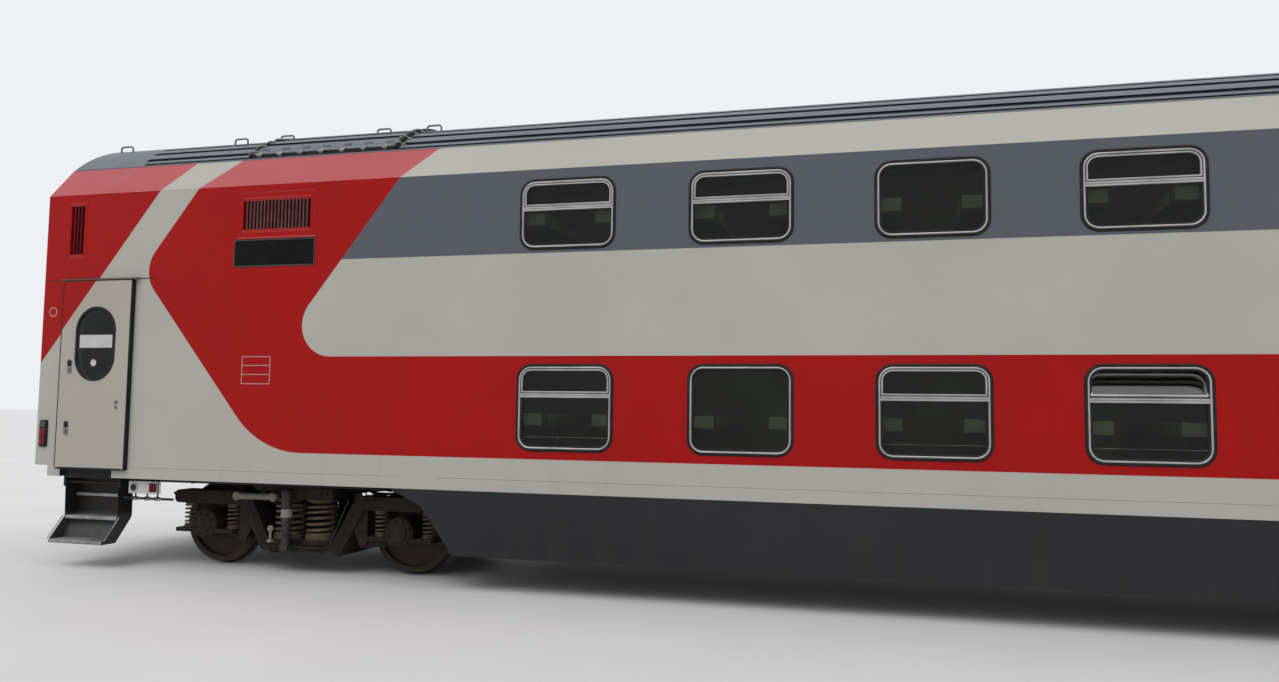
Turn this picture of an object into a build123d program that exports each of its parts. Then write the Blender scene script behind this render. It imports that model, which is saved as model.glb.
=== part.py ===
"""Double-deck passenger coach for broad gauge, built in millimetres.

X runs along the coach, with the entry doors at the -X end, Y across it and Z up.
The origin is on the floor under the middle of the coach, at the wheel flanges' lowest points.
"""
from build123d import *
import math
import os

os.makedirs("parts", exist_ok=True)

# Clearances
seat_gap = 0.3
running_gap = 6.0

# Track and heights, measured from the rail head
flange_depth = 28.0
rail_top = flange_depth
sill_height = rail_top + 996.0
skirt_height = rail_top + 330.0
ridge_height = rail_top + 5215.0
fold_drop = 902.0
gutter_drop = 505.0
fold_height = ridge_height - fold_drop
gutter_height = ridge_height - gutter_drop

# Body shell
body_length = 25500.0
body_half_width = 1577.0
gutter_half_width = 1247.0
side_wall_thickness = 80.0
end_wall_thickness = 80.0
roof_thickness = 90.0
corner_cut_length = 140.0
corner_cut_height = rail_top + 1120.0
end_x = body_length / 2
shell_half_length = end_x - end_wall_thickness
wall_inner_y = body_half_width - side_wall_thickness
shoulder_run = body_half_width - gutter_half_width
shoulder_rise = gutter_height - fold_height
shoulder_length = math.hypot(shoulder_run, shoulder_rise)
shoulder_thickness_y = side_wall_thickness * shoulder_length / shoulder_rise
gutter_inner_y = gutter_half_width - shoulder_thickness_y
fold_inner_height = gutter_height - (wall_inner_y - gutter_inner_y) * shoulder_rise / shoulder_run

# The skirt between the bogies ends in two slanted edges, measured from the middle of each bogie
bogie_inset = 3250.0
bogie_centre_x = end_x - bogie_inset
skirt_top_x = bogie_centre_x - 1344.0
skirt_knee_x = bogie_centre_x - 1708.0
skirt_bottom_x = bogie_centre_x - 2086.0
skirt_knee_height = rail_top + 823.0

# Floors
floor_thickness = 120.0
lower_floor_top = skirt_height + floor_thickness
upper_floor_top = ridge_height - 2695.0
end_floor_top = rail_top + 1300.0
end_floor_bottom = end_floor_top - floor_thickness
bulkhead_x = skirt_bottom_x + 36.0
bulkhead_thickness = 60.0
bogie_seat_length = 600.0

# Compartments of both decks
end_room_length = 330.0
partition_thickness = 40.0
corridor_width = 877.0
corridor_wall_y = wall_inner_y - corridor_width
berth_width = 600.0
berth_thickness = 120.0
lower_berth_top = 450.0
upper_berth_top = 1350.0
ceiling_thickness = 20.0
ceiling_rise = 300.0
ceiling_edge_gap = 30.0

# Windows, eight to a deck on each side
windows_per_deck = 8
window_pitch = 2 * (bulkhead_x - end_room_length) / windows_per_deck
window_width = 979.0
window_corner = 130.0
window_frame_width = 36.0
window_frame_depth = 62.0
window_frame_proud = 6.0
transom_height = 70.0
glass_thickness = 24.0
glass_setback = 14.0

# Entry doors, plug doors that stand proud of the side
door_end_gap = 290.0
door_width = 970.0
door_x_low = door_end_gap - end_x
door_x_high = door_x_low + door_width
door_bottom = rail_top + 1090.0
door_top = rail_top + 3278.0
door_proud = 55.0
door_overlap = 30.0
door_plug_depth = 45.0
door_corner = 60.0
door_window_x = door_x_low + 492.0
door_window_width = 558.0
door_window_bottom = rail_top + 2105.0
door_window_top = rail_top + 2966.0

# End doorways, sliding end doors and gangways
doorway_width = 800.0
doorway_top = end_floor_top + 2000.0
end_door_thickness = 40.0
end_door_overlap = 50.0
end_door_travel = 840.0
end_door_pane_width = 420.0
end_door_pane_height = 760.0
end_door_pane_corner = 60.0
end_door_pane_middle = end_floor_top + 1350.0
end_rail_height = 60.0
gangway_depth = 330.0
gangway_width = 1300.0
gangway_bottom = end_floor_top - 60.0
gangway_top = end_floor_top + 2230.0
gangway_wall = 110.0
gangway_fold_height = 60.0
gangway_folds = 4
gangway_face_thickness = 30.0
gangway_corner = 220.0

# Tail lamps
lamp_width = 90.0
lamp_height = 315.0
lamp_corner = 30.0
lamp_proud = 25.0
lamp_x = end_x - 50.0
lamp_middle = rail_top + 1487.0

# Bogie frames and bolsters, the places along X measured from the bogie's middle
wheelbase = 2500.0
journal_centre_y = 1018.0
spring_base_height = rail_top + 340.0
spring_top_height = rail_top + 800.0
spring_offset_x = 200.0
spring_diameter = 360.0
spring_seat_rim = 20.0
spring_seat_thickness = 40.0
spring_cup_height = 60.0
spring_pad_height = 55.0
spring_wire = 36.0
spring_turns = 5
side_beam_width = 220.0
side_beam_middle_depth = 130.0
side_beam_end_top = rail_top + 850.0
side_beam_end_depth = 150.0
side_beam_half_length = 1700.0
side_beam_low_x = 420.0
side_beam_high_x = 690.0
side_beam_low_step = 90.0
side_beam_high_step = 100.0
side_beam_bend = 55.0
bolster_depth = 130.0
bolster_half_x = 450.0
bolster_beam_width = 500.0
bolster_pad_width = spring_diameter + 2 * spring_seat_rim
bolster_top = spring_top_height + bolster_depth
pivot_pin_radius = 70.0
cross_tube_x = 430.0
cross_tube_radius = 85.0
cross_tube_height = spring_base_height - cross_tube_radius - 10.0

# Wheelsets
wheel_diameter = 957.0
wheel_back_to_back = 1440.0
rim_width = 130.0
rim_thickness = 65.0
rim_cone = 4.0
flange_width = 33.0
flange_bevel = 8.0
flange_tip = 20.0
hub_radius = 135.0
hub_taper = 10.0
web_thickness = 34.0
axle_radius = 88.0
journal_radius = 65.0
journal_half_length = 110.0
brake_disc_radius = 305.0
brake_disc_thickness = 110.0
brake_disc_y = 350.0
wheel_radius = wheel_diameter / 2
axle_height = rail_top + wheel_radius

# Axle boxes with a spring wing on each side and an arm to a bush under the side beam
axle_box_radius = 165.0
axle_box_cover = 40.0
axle_box_wing_x = 290.0
axle_box_wing_half = 95.0
axle_box_wing_thickness = 45.0
wing_top = axle_height - 60.0
primary_spring_radius = 82.0
primary_spring_core = 64.0
primary_spring_turns = 4
arm_length = 480.0
arm_width = 120.0
arm_root_drop = 150.0
bush_height = rail_top + 345.0
bush_radius = 70.0
bush_pin_radius = 20.0
bush_cheek_thickness = 20.0
bush_cheek_half = 55.0
bush_cheek_step = 120.0

# Dampers: an upright one and a level one on each side of a bogie
damper_x = 85.0
damper_radius = 45.0
damper_cover_radius = 55.0
damper_cover_length = 300.0
damper_body_length = 300.0
damper_bracket = 60.0
damper_foot = spring_base_height - 40.0
damper_head = spring_top_height + bolster_depth / 2
damper_y = journal_centre_y + bolster_pad_width / 2 + damper_cover_radius + running_gap
level_damper_inner_x = 260.0
level_damper_outer_x = 730.0
level_damper_radius = 38.0
level_damper_height = rail_top + 822.0

# Brake calipers
caliper_cheek = 50.0
caliper_depth = 140.0
caliper_hanger_width = 160.0
caliper_hanger_x = cross_tube_x + 20.0
caliper_start_x = cross_tube_x + cross_tube_radius
caliper_height = axle_height - 60.0

# Jacking pads under the end floors
jack_pad_x = bogie_centre_x + 1850.0
jack_pad_y = wall_inner_y - 107.0
jack_pad_size = 160.0
jack_pad_height = rail_top + 960.0

# Couplers and their draught boxes
coupler_height = rail_top + 1020.0
coupler_reach = 365.0
coupler_face_x = end_x + coupler_reach
coupler_head_width = 420.0
coupler_head_height = 290.0
coupler_head_length = 240.0
coupler_head_corner = 60.0
coupler_cone_radius = 80.0
coupler_cone_length = 50.0
coupler_cup_depth = 60.0
coupler_cup_gap = 2.0
coupler_taper = 20.0
drawbar_radius = 70.0
drawbar_pocket = 700.0
drawbar_pocket_gap = 20.0
draught_box_length = 1000.0
draught_box_wall = 80.0
draught_box_floor = 40.0

# Gear under the end floors: battery boxes at one end, air reservoirs at the door end
battery_length = 900.0
battery_width = 760.0
battery_height = 520.0
battery_x = end_x - 700.0
battery_y = wall_inner_y - 547.0
reservoir_radius = 150.0
reservoir_length = 800.0
reservoir_x = 750.0 - end_x
reservoir_y = 420.0
reservoir_height = end_floor_bottom - 170.0
reservoir_strap_width = 40.0
reservoir_strap_depth = 120.0
reservoir_strap_offset = 250.0

# Entry steps
step_pivot_y = body_half_width - 127.0
step_pivot_height = rail_top + 925.0
step_pin_radius = 15.0
step_lug = 45.0
step_x_low = 330.0 - end_x
step_x_high = 1080.0 - end_x
sill_notch_low = step_x_low - 10.0
sill_notch_high = step_x_high - 30.0
step_plate_thickness = 8.0
step_riser_thickness = 6.0
step_riser_inset = 12.0
step_tread_depth = 190.0
step_tread_thickness = 36.0
step_lower_y = body_half_width + 18.0
step_lower_height = rail_top + 285.0
step_upper_y = step_pivot_y - 60.0
step_upper_height = rail_top + 535.0
step_bar_y = step_pivot_y - 150.0
step_bar_height = rail_top + 790.0
step_bar_depth = 60.0
step_bracket_thickness = 20.0
step_bracket_width = 170.0
step_bracket_below_pin = 50.0

# name, direction across the coach
sides = (("right", -1), ("left", 1))
# name, direction along the coach
ends = (("a", -1), ("b", 1))
# deck, lowest and highest edge of a window, lower edge of its transom
decks = (
    ("lower", lower_floor_top + 993.0, lower_floor_top + 1826.0, lower_floor_top + 1510.0),
    ("upper", upper_floor_top + 978.0, upper_floor_top + 1665.0, upper_floor_top + 1358.0),
)
# deck, number of the window counted from the doors, for windows that are one fixed pane
fixed_windows = (("upper", 2), ("lower", 1))
window_x = [(number - (windows_per_deck - 1) / 2) * window_pitch for number in range(windows_per_deck)]
compartment_edges = [(number - windows_per_deck / 2) * window_pitch for number in range(windows_per_deck + 1)]

# Grilles and displays on each side: x of the ends, z of the edges
upright_grille = (258.0 - end_x, 520.0 - end_x, fold_height - 765.0, fold_height - 85.0)
row_grille = (-bogie_centre_x - 665.0, 360.0 - bogie_centre_x, fold_height - 603.0, fold_height - 73.0)
far_grille = (-row_grille[1], -row_grille[0], row_grille[2], row_grille[3])
display = (-bogie_centre_x - 680.0, 350.0 - bogie_centre_x, fold_height - 923.0, fold_height - 618.0)
upright_grille_slats = 4
upright_grille_border = 38.0
row_grille_slats = 19
row_grille_border = 84.0
grille_pocket_depth = 50.0
grille_proud = 6.0
slat_thickness = 16.0

# Roof hatches over the air conditioning units, with lugs, grooves along the roof and hoop handles
hatch_x_low = bogie_centre_x - 1100.0
hatch_x_high = bogie_centre_x + 800.0
hatch_half_width = gutter_half_width - 117.0
hatch_raise = 25.0
hatch_lugs = 7
lug_length = 90.0
lug_width = 60.0
lug_height = 50.0
# distance of each groove from the gutter, and how far it stops short of the end
grooves = ((14.0, 970.0), (116.0, 920.0), (287.0, 870.0), (480.0, 820.0))
hatch_grooves = grooves[2:]
groove_width = 80.0
groove_depth = 22.0
roof_handles = (end_x - 190.0, bogie_centre_x + 1345.0, bogie_centre_x - 1286.0)
hatch_handles = (hatch_x_high - 110.0, hatch_x_low + 468.0)
handle_y = hatch_half_width - 450.0
handle_length = 180.0
handle_height = 90.0
handle_radius = 11.0
roof_rise = ridge_height - gutter_height
roof_radius = (gutter_half_width**2 + roof_rise**2) / (2 * roof_rise)


def roof_height(y):
    """Height of the roof's outside over the distance y from the middle."""
    return ridge_height - roof_radius + math.sqrt(roof_radius**2 - y**2)


def groove_plane(y, side, raised):
    """Plane that touches the roof, raised by a distance, at y from the middle of one side."""
    tilt = math.asin(y / roof_radius)
    return Plane(
        origin=(0, side * y, roof_height(y) + raised),
        x_dir=(1, 0, 0),
        z_dir=(0, side * math.sin(tilt), math.cos(tilt)),
    )


def hoop_path(x, y):
    """Path of a hoop handle that stands on the roof, from foot to foot."""
    foot = roof_height(abs(y)) - 2 * handle_radius
    with BuildLine() as path:
        FilletPolyline(
            (x - handle_length / 2, y, foot),
            (x - handle_length / 2, y, foot + handle_height),
            (x + handle_length / 2, y, foot + handle_height),
            (x + handle_length / 2, y, foot),
            radius=3 * handle_radius,
        )
    return path.line


# Side walls: the upright wall with its low skirt between the bogies, and the slanted shoulder above it
for side_name, side in sides:
    with BuildPart() as side_wall:
        with BuildSketch(Plane.YZ.offset(-shell_half_length)):
            with BuildLine():
                Polyline(
                    (side * body_half_width, skirt_height),
                    (side * body_half_width, fold_height),
                    (side * gutter_half_width, gutter_height),
                    (side * gutter_inner_y, gutter_height),
                    (side * wall_inner_y, fold_inner_height),
                    (side * wall_inner_y, skirt_height),
                    close=True,
                )
            make_face()
        extrude(amount=2 * shell_half_length)
        # The skirt ends in a slanted edge towards each bogie
        with BuildSketch(Plane.XZ):
            for _, end in ends:
                with BuildLine():
                    Polyline(
                        (end * skirt_bottom_x, skirt_height - 1),
                        (end * skirt_bottom_x, skirt_height),
                        (end * skirt_knee_x, skirt_knee_height),
                        (end * skirt_top_x, sill_height),
                        (end * (end_x - corner_cut_length), sill_height),
                        (end * (end_x - corner_cut_length), corner_cut_height),
                        (end * end_x, corner_cut_height),
                        (end * end_x, skirt_height - 1),
                        close=True,
                    )
                make_face()
        extrude(amount=body_half_width + 1, both=True, mode=Mode.SUBTRACT)
        # Window openings
        for deck, low, high, _ in decks:
            with BuildSketch(Plane.XZ):
                with Locations(*[(x, (low + high) / 2) for x in window_x]):
                    RectangleRounded(
                        window_width + 2 * seat_gap, high - low + 2 * seat_gap, window_corner + seat_gap
                    )
            extrude(amount=body_half_width + 1, both=True, mode=Mode.SUBTRACT)
        # Doorway, and below it a notch in the sill over the steps
        doorway_low = door_bottom + door_overlap
        with BuildSketch(Plane.XZ):
            with Locations(((door_x_low + door_x_high) / 2, doorway_low)):
                Rectangle(
                    door_x_high - door_x_low - 2 * door_overlap,
                    door_top - door_overlap - doorway_low,
                    align=(Align.CENTER, Align.MIN),
                )
            with Locations(((sill_notch_low + sill_notch_high) / 2, sill_height - 1)):
                Rectangle(
                    sill_notch_high - sill_notch_low,
                    doorway_low - sill_height + 2,
                    align=(Align.CENTER, Align.MIN),
                )
        extrude(amount=body_half_width + 1, both=True, mode=Mode.SUBTRACT)
        # Pockets for the grilles and the destination display
        with BuildSketch(Plane.XZ.offset(-side * body_half_width)):
            for x_low, x_high, z_low, z_high in (upright_grille, row_grille, far_grille, display):
                with Locations(((x_low + x_high) / 2, (z_low + z_high) / 2)):
                    Rectangle(x_high - x_low, z_high - z_low)
        extrude(amount=side * grille_pocket_depth, mode=Mode.SUBTRACT)
    side_wall.part.label = f"side_wall_{side_name}"
    export_step(side_wall.part, f"parts/side_wall_{side_name}.step")

# Roof: one arc from gutter to gutter, with grooves along it and openings for the two hatches
with BuildPart() as roof:
    with BuildSketch(Plane.YZ.offset(-shell_half_length)):
        with BuildLine():
            ThreePointArc(
                (-gutter_half_width, gutter_height), (0, ridge_height), (gutter_half_width, gutter_height)
            )
            Line((gutter_half_width, gutter_height), (gutter_inner_y, gutter_height))
            ThreePointArc(
                (gutter_inner_y, gutter_height),
                (0, ridge_height - roof_thickness),
                (-gutter_inner_y, gutter_height),
            )
            Line((-gutter_inner_y, gutter_height), (-gutter_half_width, gutter_height))
        make_face()
    extrude(amount=2 * shell_half_length)
    with Locations(*[(end * (hatch_x_low + hatch_x_high) / 2, 0, ridge_height) for _, end in ends]):
        Box(hatch_x_high - hatch_x_low, 2 * hatch_half_width, 2 * roof_rise, mode=Mode.SUBTRACT)
    for from_gutter, from_end in grooves:
        for _, side in sides:
            with BuildSketch(groove_plane(gutter_half_width - from_gutter, side, 0)):
                Rectangle(2 * (end_x - from_end), groove_width)
            extrude(amount=groove_depth, both=True, mode=Mode.SUBTRACT)
    for handle_x in roof_handles:
        for _, end in ends:
            for _, side in sides:
                hoop = hoop_path(end * handle_x, side * handle_y)
                with BuildSketch(Plane(origin=hoop @ 0, z_dir=hoop % 0)):
                    Circle(handle_radius)
                sweep(path=hoop)
roof.part.label = "roof"
export_step(roof.part, "parts/roof.step")

# Hatches over the air conditioning units, with lugs along their lower edges
with BuildPart() as roof_hatches:
    for _, end in ends:
        with BuildSketch(Plane.YZ.offset(min(end * hatch_x_low, end * hatch_x_high))):
            with BuildLine():
                edge = roof_height(hatch_half_width)
                ThreePointArc(
                    (-hatch_half_width, edge + hatch_raise),
                    (0, ridge_height + hatch_raise),
                    (hatch_half_width, edge + hatch_raise),
                )
                Line((hatch_half_width, edge + hatch_raise), (hatch_half_width, edge - roof_thickness / 2))
                ThreePointArc(
                    (hatch_half_width, edge - roof_thickness / 2),
                    (0, ridge_height - roof_thickness / 2),
                    (-hatch_half_width, edge - roof_thickness / 2),
                )
                Line((-hatch_half_width, edge - roof_thickness / 2), (-hatch_half_width, edge + hatch_raise))
            make_face()
        extrude(amount=hatch_x_high - hatch_x_low)
        for from_gutter, _ in hatch_grooves:
            for _, side in sides:
                with BuildSketch(groove_plane(gutter_half_width - from_gutter, side, hatch_raise)):
                    with Locations((end * (hatch_x_low + hatch_x_high) / 2, 0)):
                        Rectangle(hatch_x_high - hatch_x_low + 2, groove_width)
                extrude(amount=groove_depth, both=True, mode=Mode.SUBTRACT)
        lug_pitch = (hatch_x_high - hatch_x_low) / hatch_lugs
        for number in range(hatch_lugs):
            for _, side in sides:
                with Locations(
                    (
                        end * (hatch_x_low + (number + 0.5) * lug_pitch),
                        side * (hatch_half_width - lug_width / 2),
                        roof_height(hatch_half_width) + lug_height / 2,
                    )
                ):
                    Box(lug_length, lug_width, lug_height)
        for handle_x in hatch_handles:
            for _, side in sides:
                hoop = hoop_path(end * handle_x, side * handle_y)
                with BuildSketch(Plane(origin=hoop @ 0, z_dir=hoop % 0)):
                    Circle(handle_radius)
                sweep(path=hoop)
roof_hatches.part.label = "roof_hatches"
export_step(roof_hatches.part, "parts/roof_hatches.step")

# End walls with their doorways
for end_name, end in ends:
    with BuildPart() as end_wall:
        with BuildSketch(Plane.YZ.offset(end * shell_half_length)):
            with BuildLine():
                Polyline(
                    (-gutter_half_width, gutter_height),
                    (-body_half_width, fold_height),
                    (-body_half_width, corner_cut_height),
                    (body_half_width, corner_cut_height),
                    (body_half_width, fold_height),
                    (gutter_half_width, gutter_height),
                )
                ThreePointArc(
                    (gutter_half_width, gutter_height), (0, ridge_height), (-gutter_half_width, gutter_height)
                )
            make_face()
            with Locations((0, end_floor_top)):
                Rectangle(
                    doorway_width,
                    doorway_top - end_floor_top,
                    align=(Align.CENTER, Align.MIN),
                    mode=Mode.SUBTRACT,
                )
            # Notch for the coupler
            with Locations((0, corner_cut_height - 1)):
                Rectangle(
                    coupler_head_width + 2 * running_gap,
                    end_floor_bottom - corner_cut_height + 1,
                    align=(Align.CENTER, Align.MIN),
                    mode=Mode.SUBTRACT,
                )
        extrude(amount=end * end_wall_thickness)
        # Rail that the sliding end door hangs from
        with BuildSketch(Plane.YZ.offset(end * shell_half_length)):
            with Locations((end_door_travel / 2, doorway_top + end_door_overlap + seat_gap)):
                Rectangle(
                    doorway_width + 2 * end_door_overlap + end_door_travel,
                    end_rail_height,
                    align=(Align.CENTER, Align.MIN),
                )
        extrude(amount=-end * (end_door_thickness + running_gap))
    end_wall.part.label = f"end_wall_{end_name}"
    export_step(end_wall.part, f"parts/end_wall_{end_name}.step")

# Underframe: the end floors over the bogies, their bulkheads, draught boxes and bogie seats
with BuildPart() as underframe:
    for _, end in ends:
        floor_middle_x = end * (bulkhead_x + shell_half_length) / 2
        with Locations((floor_middle_x, 0, end_floor_bottom)):
            Box(
                shell_half_length - bulkhead_x,
                2 * wall_inner_y,
                floor_thickness,
                align=(Align.CENTER, Align.CENTER, Align.MIN),
            )
        with Locations((end * (bulkhead_x + bulkhead_thickness / 2), 0, skirt_height)):
            Box(
                bulkhead_thickness,
                2 * wall_inner_y,
                end_floor_bottom - skirt_height + 1,
                align=(Align.CENTER, Align.CENTER, Align.MIN),
            )
        # Seat of the bogie with its pivot pin
        with Locations((end * bogie_centre_x, 0, bolster_top + seat_gap)):
            Box(
                bogie_seat_length,
                2 * journal_centre_y,
                end_floor_bottom - bolster_top,
                align=(Align.CENTER, Align.CENTER, Align.MIN),
            )
        with Locations((end * bogie_centre_x, 0, end_floor_bottom)):
            Cylinder(
                pivot_pin_radius,
                end_floor_bottom - spring_top_height,
                align=(Align.CENTER, Align.CENTER, Align.MAX),
            )
        # Jacking pads outside the bogie
        with Locations(*[(end * jack_pad_x, side * jack_pad_y, end_floor_bottom) for _, side in sides]):
            Box(
                jack_pad_size,
                jack_pad_size,
                end_floor_bottom - jack_pad_height,
                align=(Align.CENTER, Align.CENTER, Align.MAX),
            )
        # Draught box, open towards the end for the drawbar
        with Locations((end * (shell_half_length - draught_box_length / 2), 0, end_floor_bottom)):
            Box(
                draught_box_length,
                2 * (drawbar_radius + drawbar_pocket_gap + draught_box_wall),
                end_floor_bottom - coupler_height + drawbar_radius + drawbar_pocket_gap + draught_box_floor,
                align=(Align.CENTER, Align.CENTER, Align.MAX),
            )
        with Locations((end * (shell_half_length - drawbar_pocket / 2), 0, coupler_height)):
            Box(
                drawbar_pocket,
                2 * (drawbar_radius + drawbar_pocket_gap),
                2 * (drawbar_radius + drawbar_pocket_gap),
                mode=Mode.SUBTRACT,
            )
underframe.part.label = "underframe"
export_step(underframe.part, "parts/underframe.step")

# Lower and upper floor between the bulkheads
for floor_name, floor_top in (("lower_floor", lower_floor_top), ("upper_floor", upper_floor_top)):
    with BuildPart() as floor:
        with Locations((0, 0, floor_top)):
            Box(
                2 * bulkhead_x, 2 * wall_inner_y, floor_thickness, align=(Align.CENTER, Align.CENTER, Align.MAX)
            )
    floor.part.label = floor_name
    export_step(floor.part, f"parts/{floor_name}.step")

# Compartments of both decks: partitions, corridor wall, four berths to a compartment, and a ceiling
compartment_depth = wall_inner_y + corridor_wall_y
lower_ceiling = upper_floor_top - floor_thickness
upper_ceiling = fold_inner_height + ceiling_rise
upper_ceiling_y = wall_inner_y - ceiling_rise * shoulder_run / shoulder_rise
for deck, floor_top, room_top in (
    ("lower", lower_floor_top, lower_ceiling), ("upper", upper_floor_top, upper_ceiling)
):
    with BuildPart() as interior:
        with BuildSketch(Plane.YZ):
            with BuildLine():
                if deck == "lower":
                    Polyline(
                        (-wall_inner_y, floor_top),
                        (-wall_inner_y, room_top),
                        (corridor_wall_y - seat_gap, room_top),
                        (corridor_wall_y - seat_gap, floor_top),
                        close=True,
                    )
                else:
                    Polyline(
                        (-wall_inner_y, floor_top),
                        (-wall_inner_y, fold_inner_height),
                        (-upper_ceiling_y, room_top),
                        (corridor_wall_y - seat_gap, room_top),
                        (corridor_wall_y - seat_gap, floor_top),
                        close=True,
                    )
            make_face()
        partition_blank = extrude(amount=partition_thickness / 2, both=True, mode=Mode.PRIVATE)
        with Locations(*[(x, 0, 0) for x in compartment_edges]):
            add(partition_blank)
        with Locations((0, corridor_wall_y, floor_top)):
            Box(
                compartment_edges[-1] - compartment_edges[0] + partition_thickness,
                partition_thickness,
                room_top - floor_top,
                align=(Align.CENTER, Align.MIN, Align.MIN),
            )
        for edge_x in compartment_edges:
            for direction in (-1, 1):
                berth_x = edge_x + direction * (partition_thickness / 2 + seat_gap + berth_width / 2)
                if abs(berth_x) > abs(compartment_edges[0]):
                    continue
                for berth_top in (lower_berth_top, upper_berth_top):
                    with Locations((berth_x, (corridor_wall_y - wall_inner_y) / 2, floor_top + berth_top)):
                        Box(
                            berth_width,
                            compartment_depth - 2 * running_gap,
                            berth_thickness,
                            align=(Align.CENTER, Align.CENTER, Align.MAX),
                        )
        if deck == "upper":
            with Locations((0, 0, room_top + seat_gap)):
                Box(
                    2 * bulkhead_x,
                    2 * (upper_ceiling_y - ceiling_edge_gap),
                    ceiling_thickness,
                    align=(Align.CENTER, Align.CENTER, Align.MIN),
                )
    interior.part.label = f"interior_{deck}"
    export_step(interior.part, f"parts/interior_{deck}.step")

# Window frames with their hinged top vents, and the panes
pane_low_gap = window_frame_width + seat_gap
for side_name, side in sides:
    frame_plane = Plane.XZ.offset(-side * (body_half_width + window_frame_proud))
    glass_plane = Plane.XZ.offset(-side * (body_half_width - glass_setback))
    with BuildPart() as window_frames:
        for deck, low, high, transom in decks:
            for number, x in enumerate(window_x):
                with BuildSketch(frame_plane):
                    with Locations((x, (low + high) / 2)):
                        RectangleRounded(window_width, high - low, window_corner)
                        RectangleRounded(
                            window_width - 2 * window_frame_width,
                            high - low - 2 * window_frame_width,
                            window_corner - window_frame_width,
                            mode=Mode.SUBTRACT,
                        )
                    if (deck, number) not in fixed_windows:
                        with Locations((x, transom)):
                            Rectangle(
                                window_width - window_frame_width,
                                transom_height,
                                align=(Align.CENTER, Align.MIN),
                            )
                extrude(amount=side * window_frame_depth)
    window_frames.part.label = f"window_frames_{side_name}"
    export_step(window_frames.part, f"parts/window_frames_{side_name}.step")

    with BuildPart() as window_glass:
        for deck, low, high, transom in decks:
            for number, x in enumerate(window_x):
                inner_low = low + pane_low_gap
                inner_high = high - pane_low_gap
                pane_width = window_width - 2 * pane_low_gap
                with BuildSketch(glass_plane):
                    with Locations((x, (inner_low + inner_high) / 2)):
                        RectangleRounded(pane_width, inner_high - inner_low, window_corner - pane_low_gap)
                    if (deck, number) not in fixed_windows:
                        with Locations((x, transom - seat_gap)):
                            Rectangle(
                                pane_width + 1,
                                transom_height + 2 * seat_gap,
                                align=(Align.CENTER, Align.MIN),
                                mode=Mode.SUBTRACT,
                            )
                extrude(amount=side * glass_thickness)
    window_glass.part.label = f"window_glass_{side_name}"
    export_step(window_glass.part, f"parts/window_glass_{side_name}.step")

# Entry doors: a proud leaf whose plug fills the doorway, with a round-ended window
door_middle_x = (door_x_low + door_x_high) / 2
door_window_height = door_window_top - door_window_bottom
door_window_middle = (door_window_x, door_window_bottom + door_window_height / 2)
for side_name, side in sides:
    with BuildPart() as entry_door:
        with BuildSketch(Plane.XZ.offset(-side * body_half_width)):
            with Locations((door_middle_x, (door_bottom + door_top) / 2)):
                RectangleRounded(door_x_high - door_x_low, door_top - door_bottom, door_corner)
        extrude(amount=-side * door_proud)
        with BuildSketch(Plane.XZ.offset(-side * body_half_width)):
            with Locations((door_middle_x, end_floor_top + running_gap)):
                Rectangle(
                    door_x_high - door_x_low - 2 * door_overlap - 2 * running_gap,
                    door_top - door_overlap - end_floor_top - 2 * running_gap,
                    align=(Align.CENTER, Align.MIN),
                )
        extrude(amount=side * door_plug_depth)
        with BuildSketch(Plane.XZ):
            with Locations(door_window_middle):
                SlotOverall(door_window_height, door_window_width, rotation=90)
        extrude(amount=body_half_width + door_proud + 1, both=True, mode=Mode.SUBTRACT)
    entry_door.part.label = f"entry_door_{side_name}"
    export_step(entry_door.part, f"parts/entry_door_{side_name}.step")

with BuildPart() as door_glass:
    for _, side in sides:
        with BuildSketch(Plane.XZ.offset(-side * (body_half_width + door_proud / 2))):
            with Locations(door_window_middle):
                SlotOverall(door_window_height - 2 * seat_gap, door_window_width - 2 * seat_gap, rotation=90)
        extrude(amount=side * glass_thickness)
door_glass.part.label = "door_glass"
export_step(door_glass.part, "parts/door_glass.step")

# End doors, each a leaf that slides across the inside of its end wall
for end_name, end in ends:
    leaf_face_x = end * (shell_half_length - running_gap)
    with BuildPart() as end_door:
        with BuildSketch(Plane.YZ.offset(leaf_face_x)):
            with Locations((0, end_floor_top + running_gap)):
                Rectangle(
                    doorway_width + 2 * end_door_overlap,
                    doorway_top + end_door_overlap - end_floor_top - running_gap,
                    align=(Align.CENTER, Align.MIN),
                )
            with Locations((0, end_door_pane_middle)):
                RectangleRounded(
                    end_door_pane_width, end_door_pane_height, end_door_pane_corner, mode=Mode.SUBTRACT
                )
        extrude(amount=-end * end_door_thickness)
        with BuildSketch(Plane.YZ.offset(leaf_face_x - end * end_door_thickness / 4)):
            with Locations((0, end_door_pane_middle)):
                RectangleRounded(end_door_pane_width + 4, end_door_pane_height + 4, end_door_pane_corner + 2)
        extrude(amount=-end * end_door_thickness / 2)
    end_door.part.label = f"end_door_{end_name}"
    export_step(end_door.part, f"parts/end_door_{end_name}.step")

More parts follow.
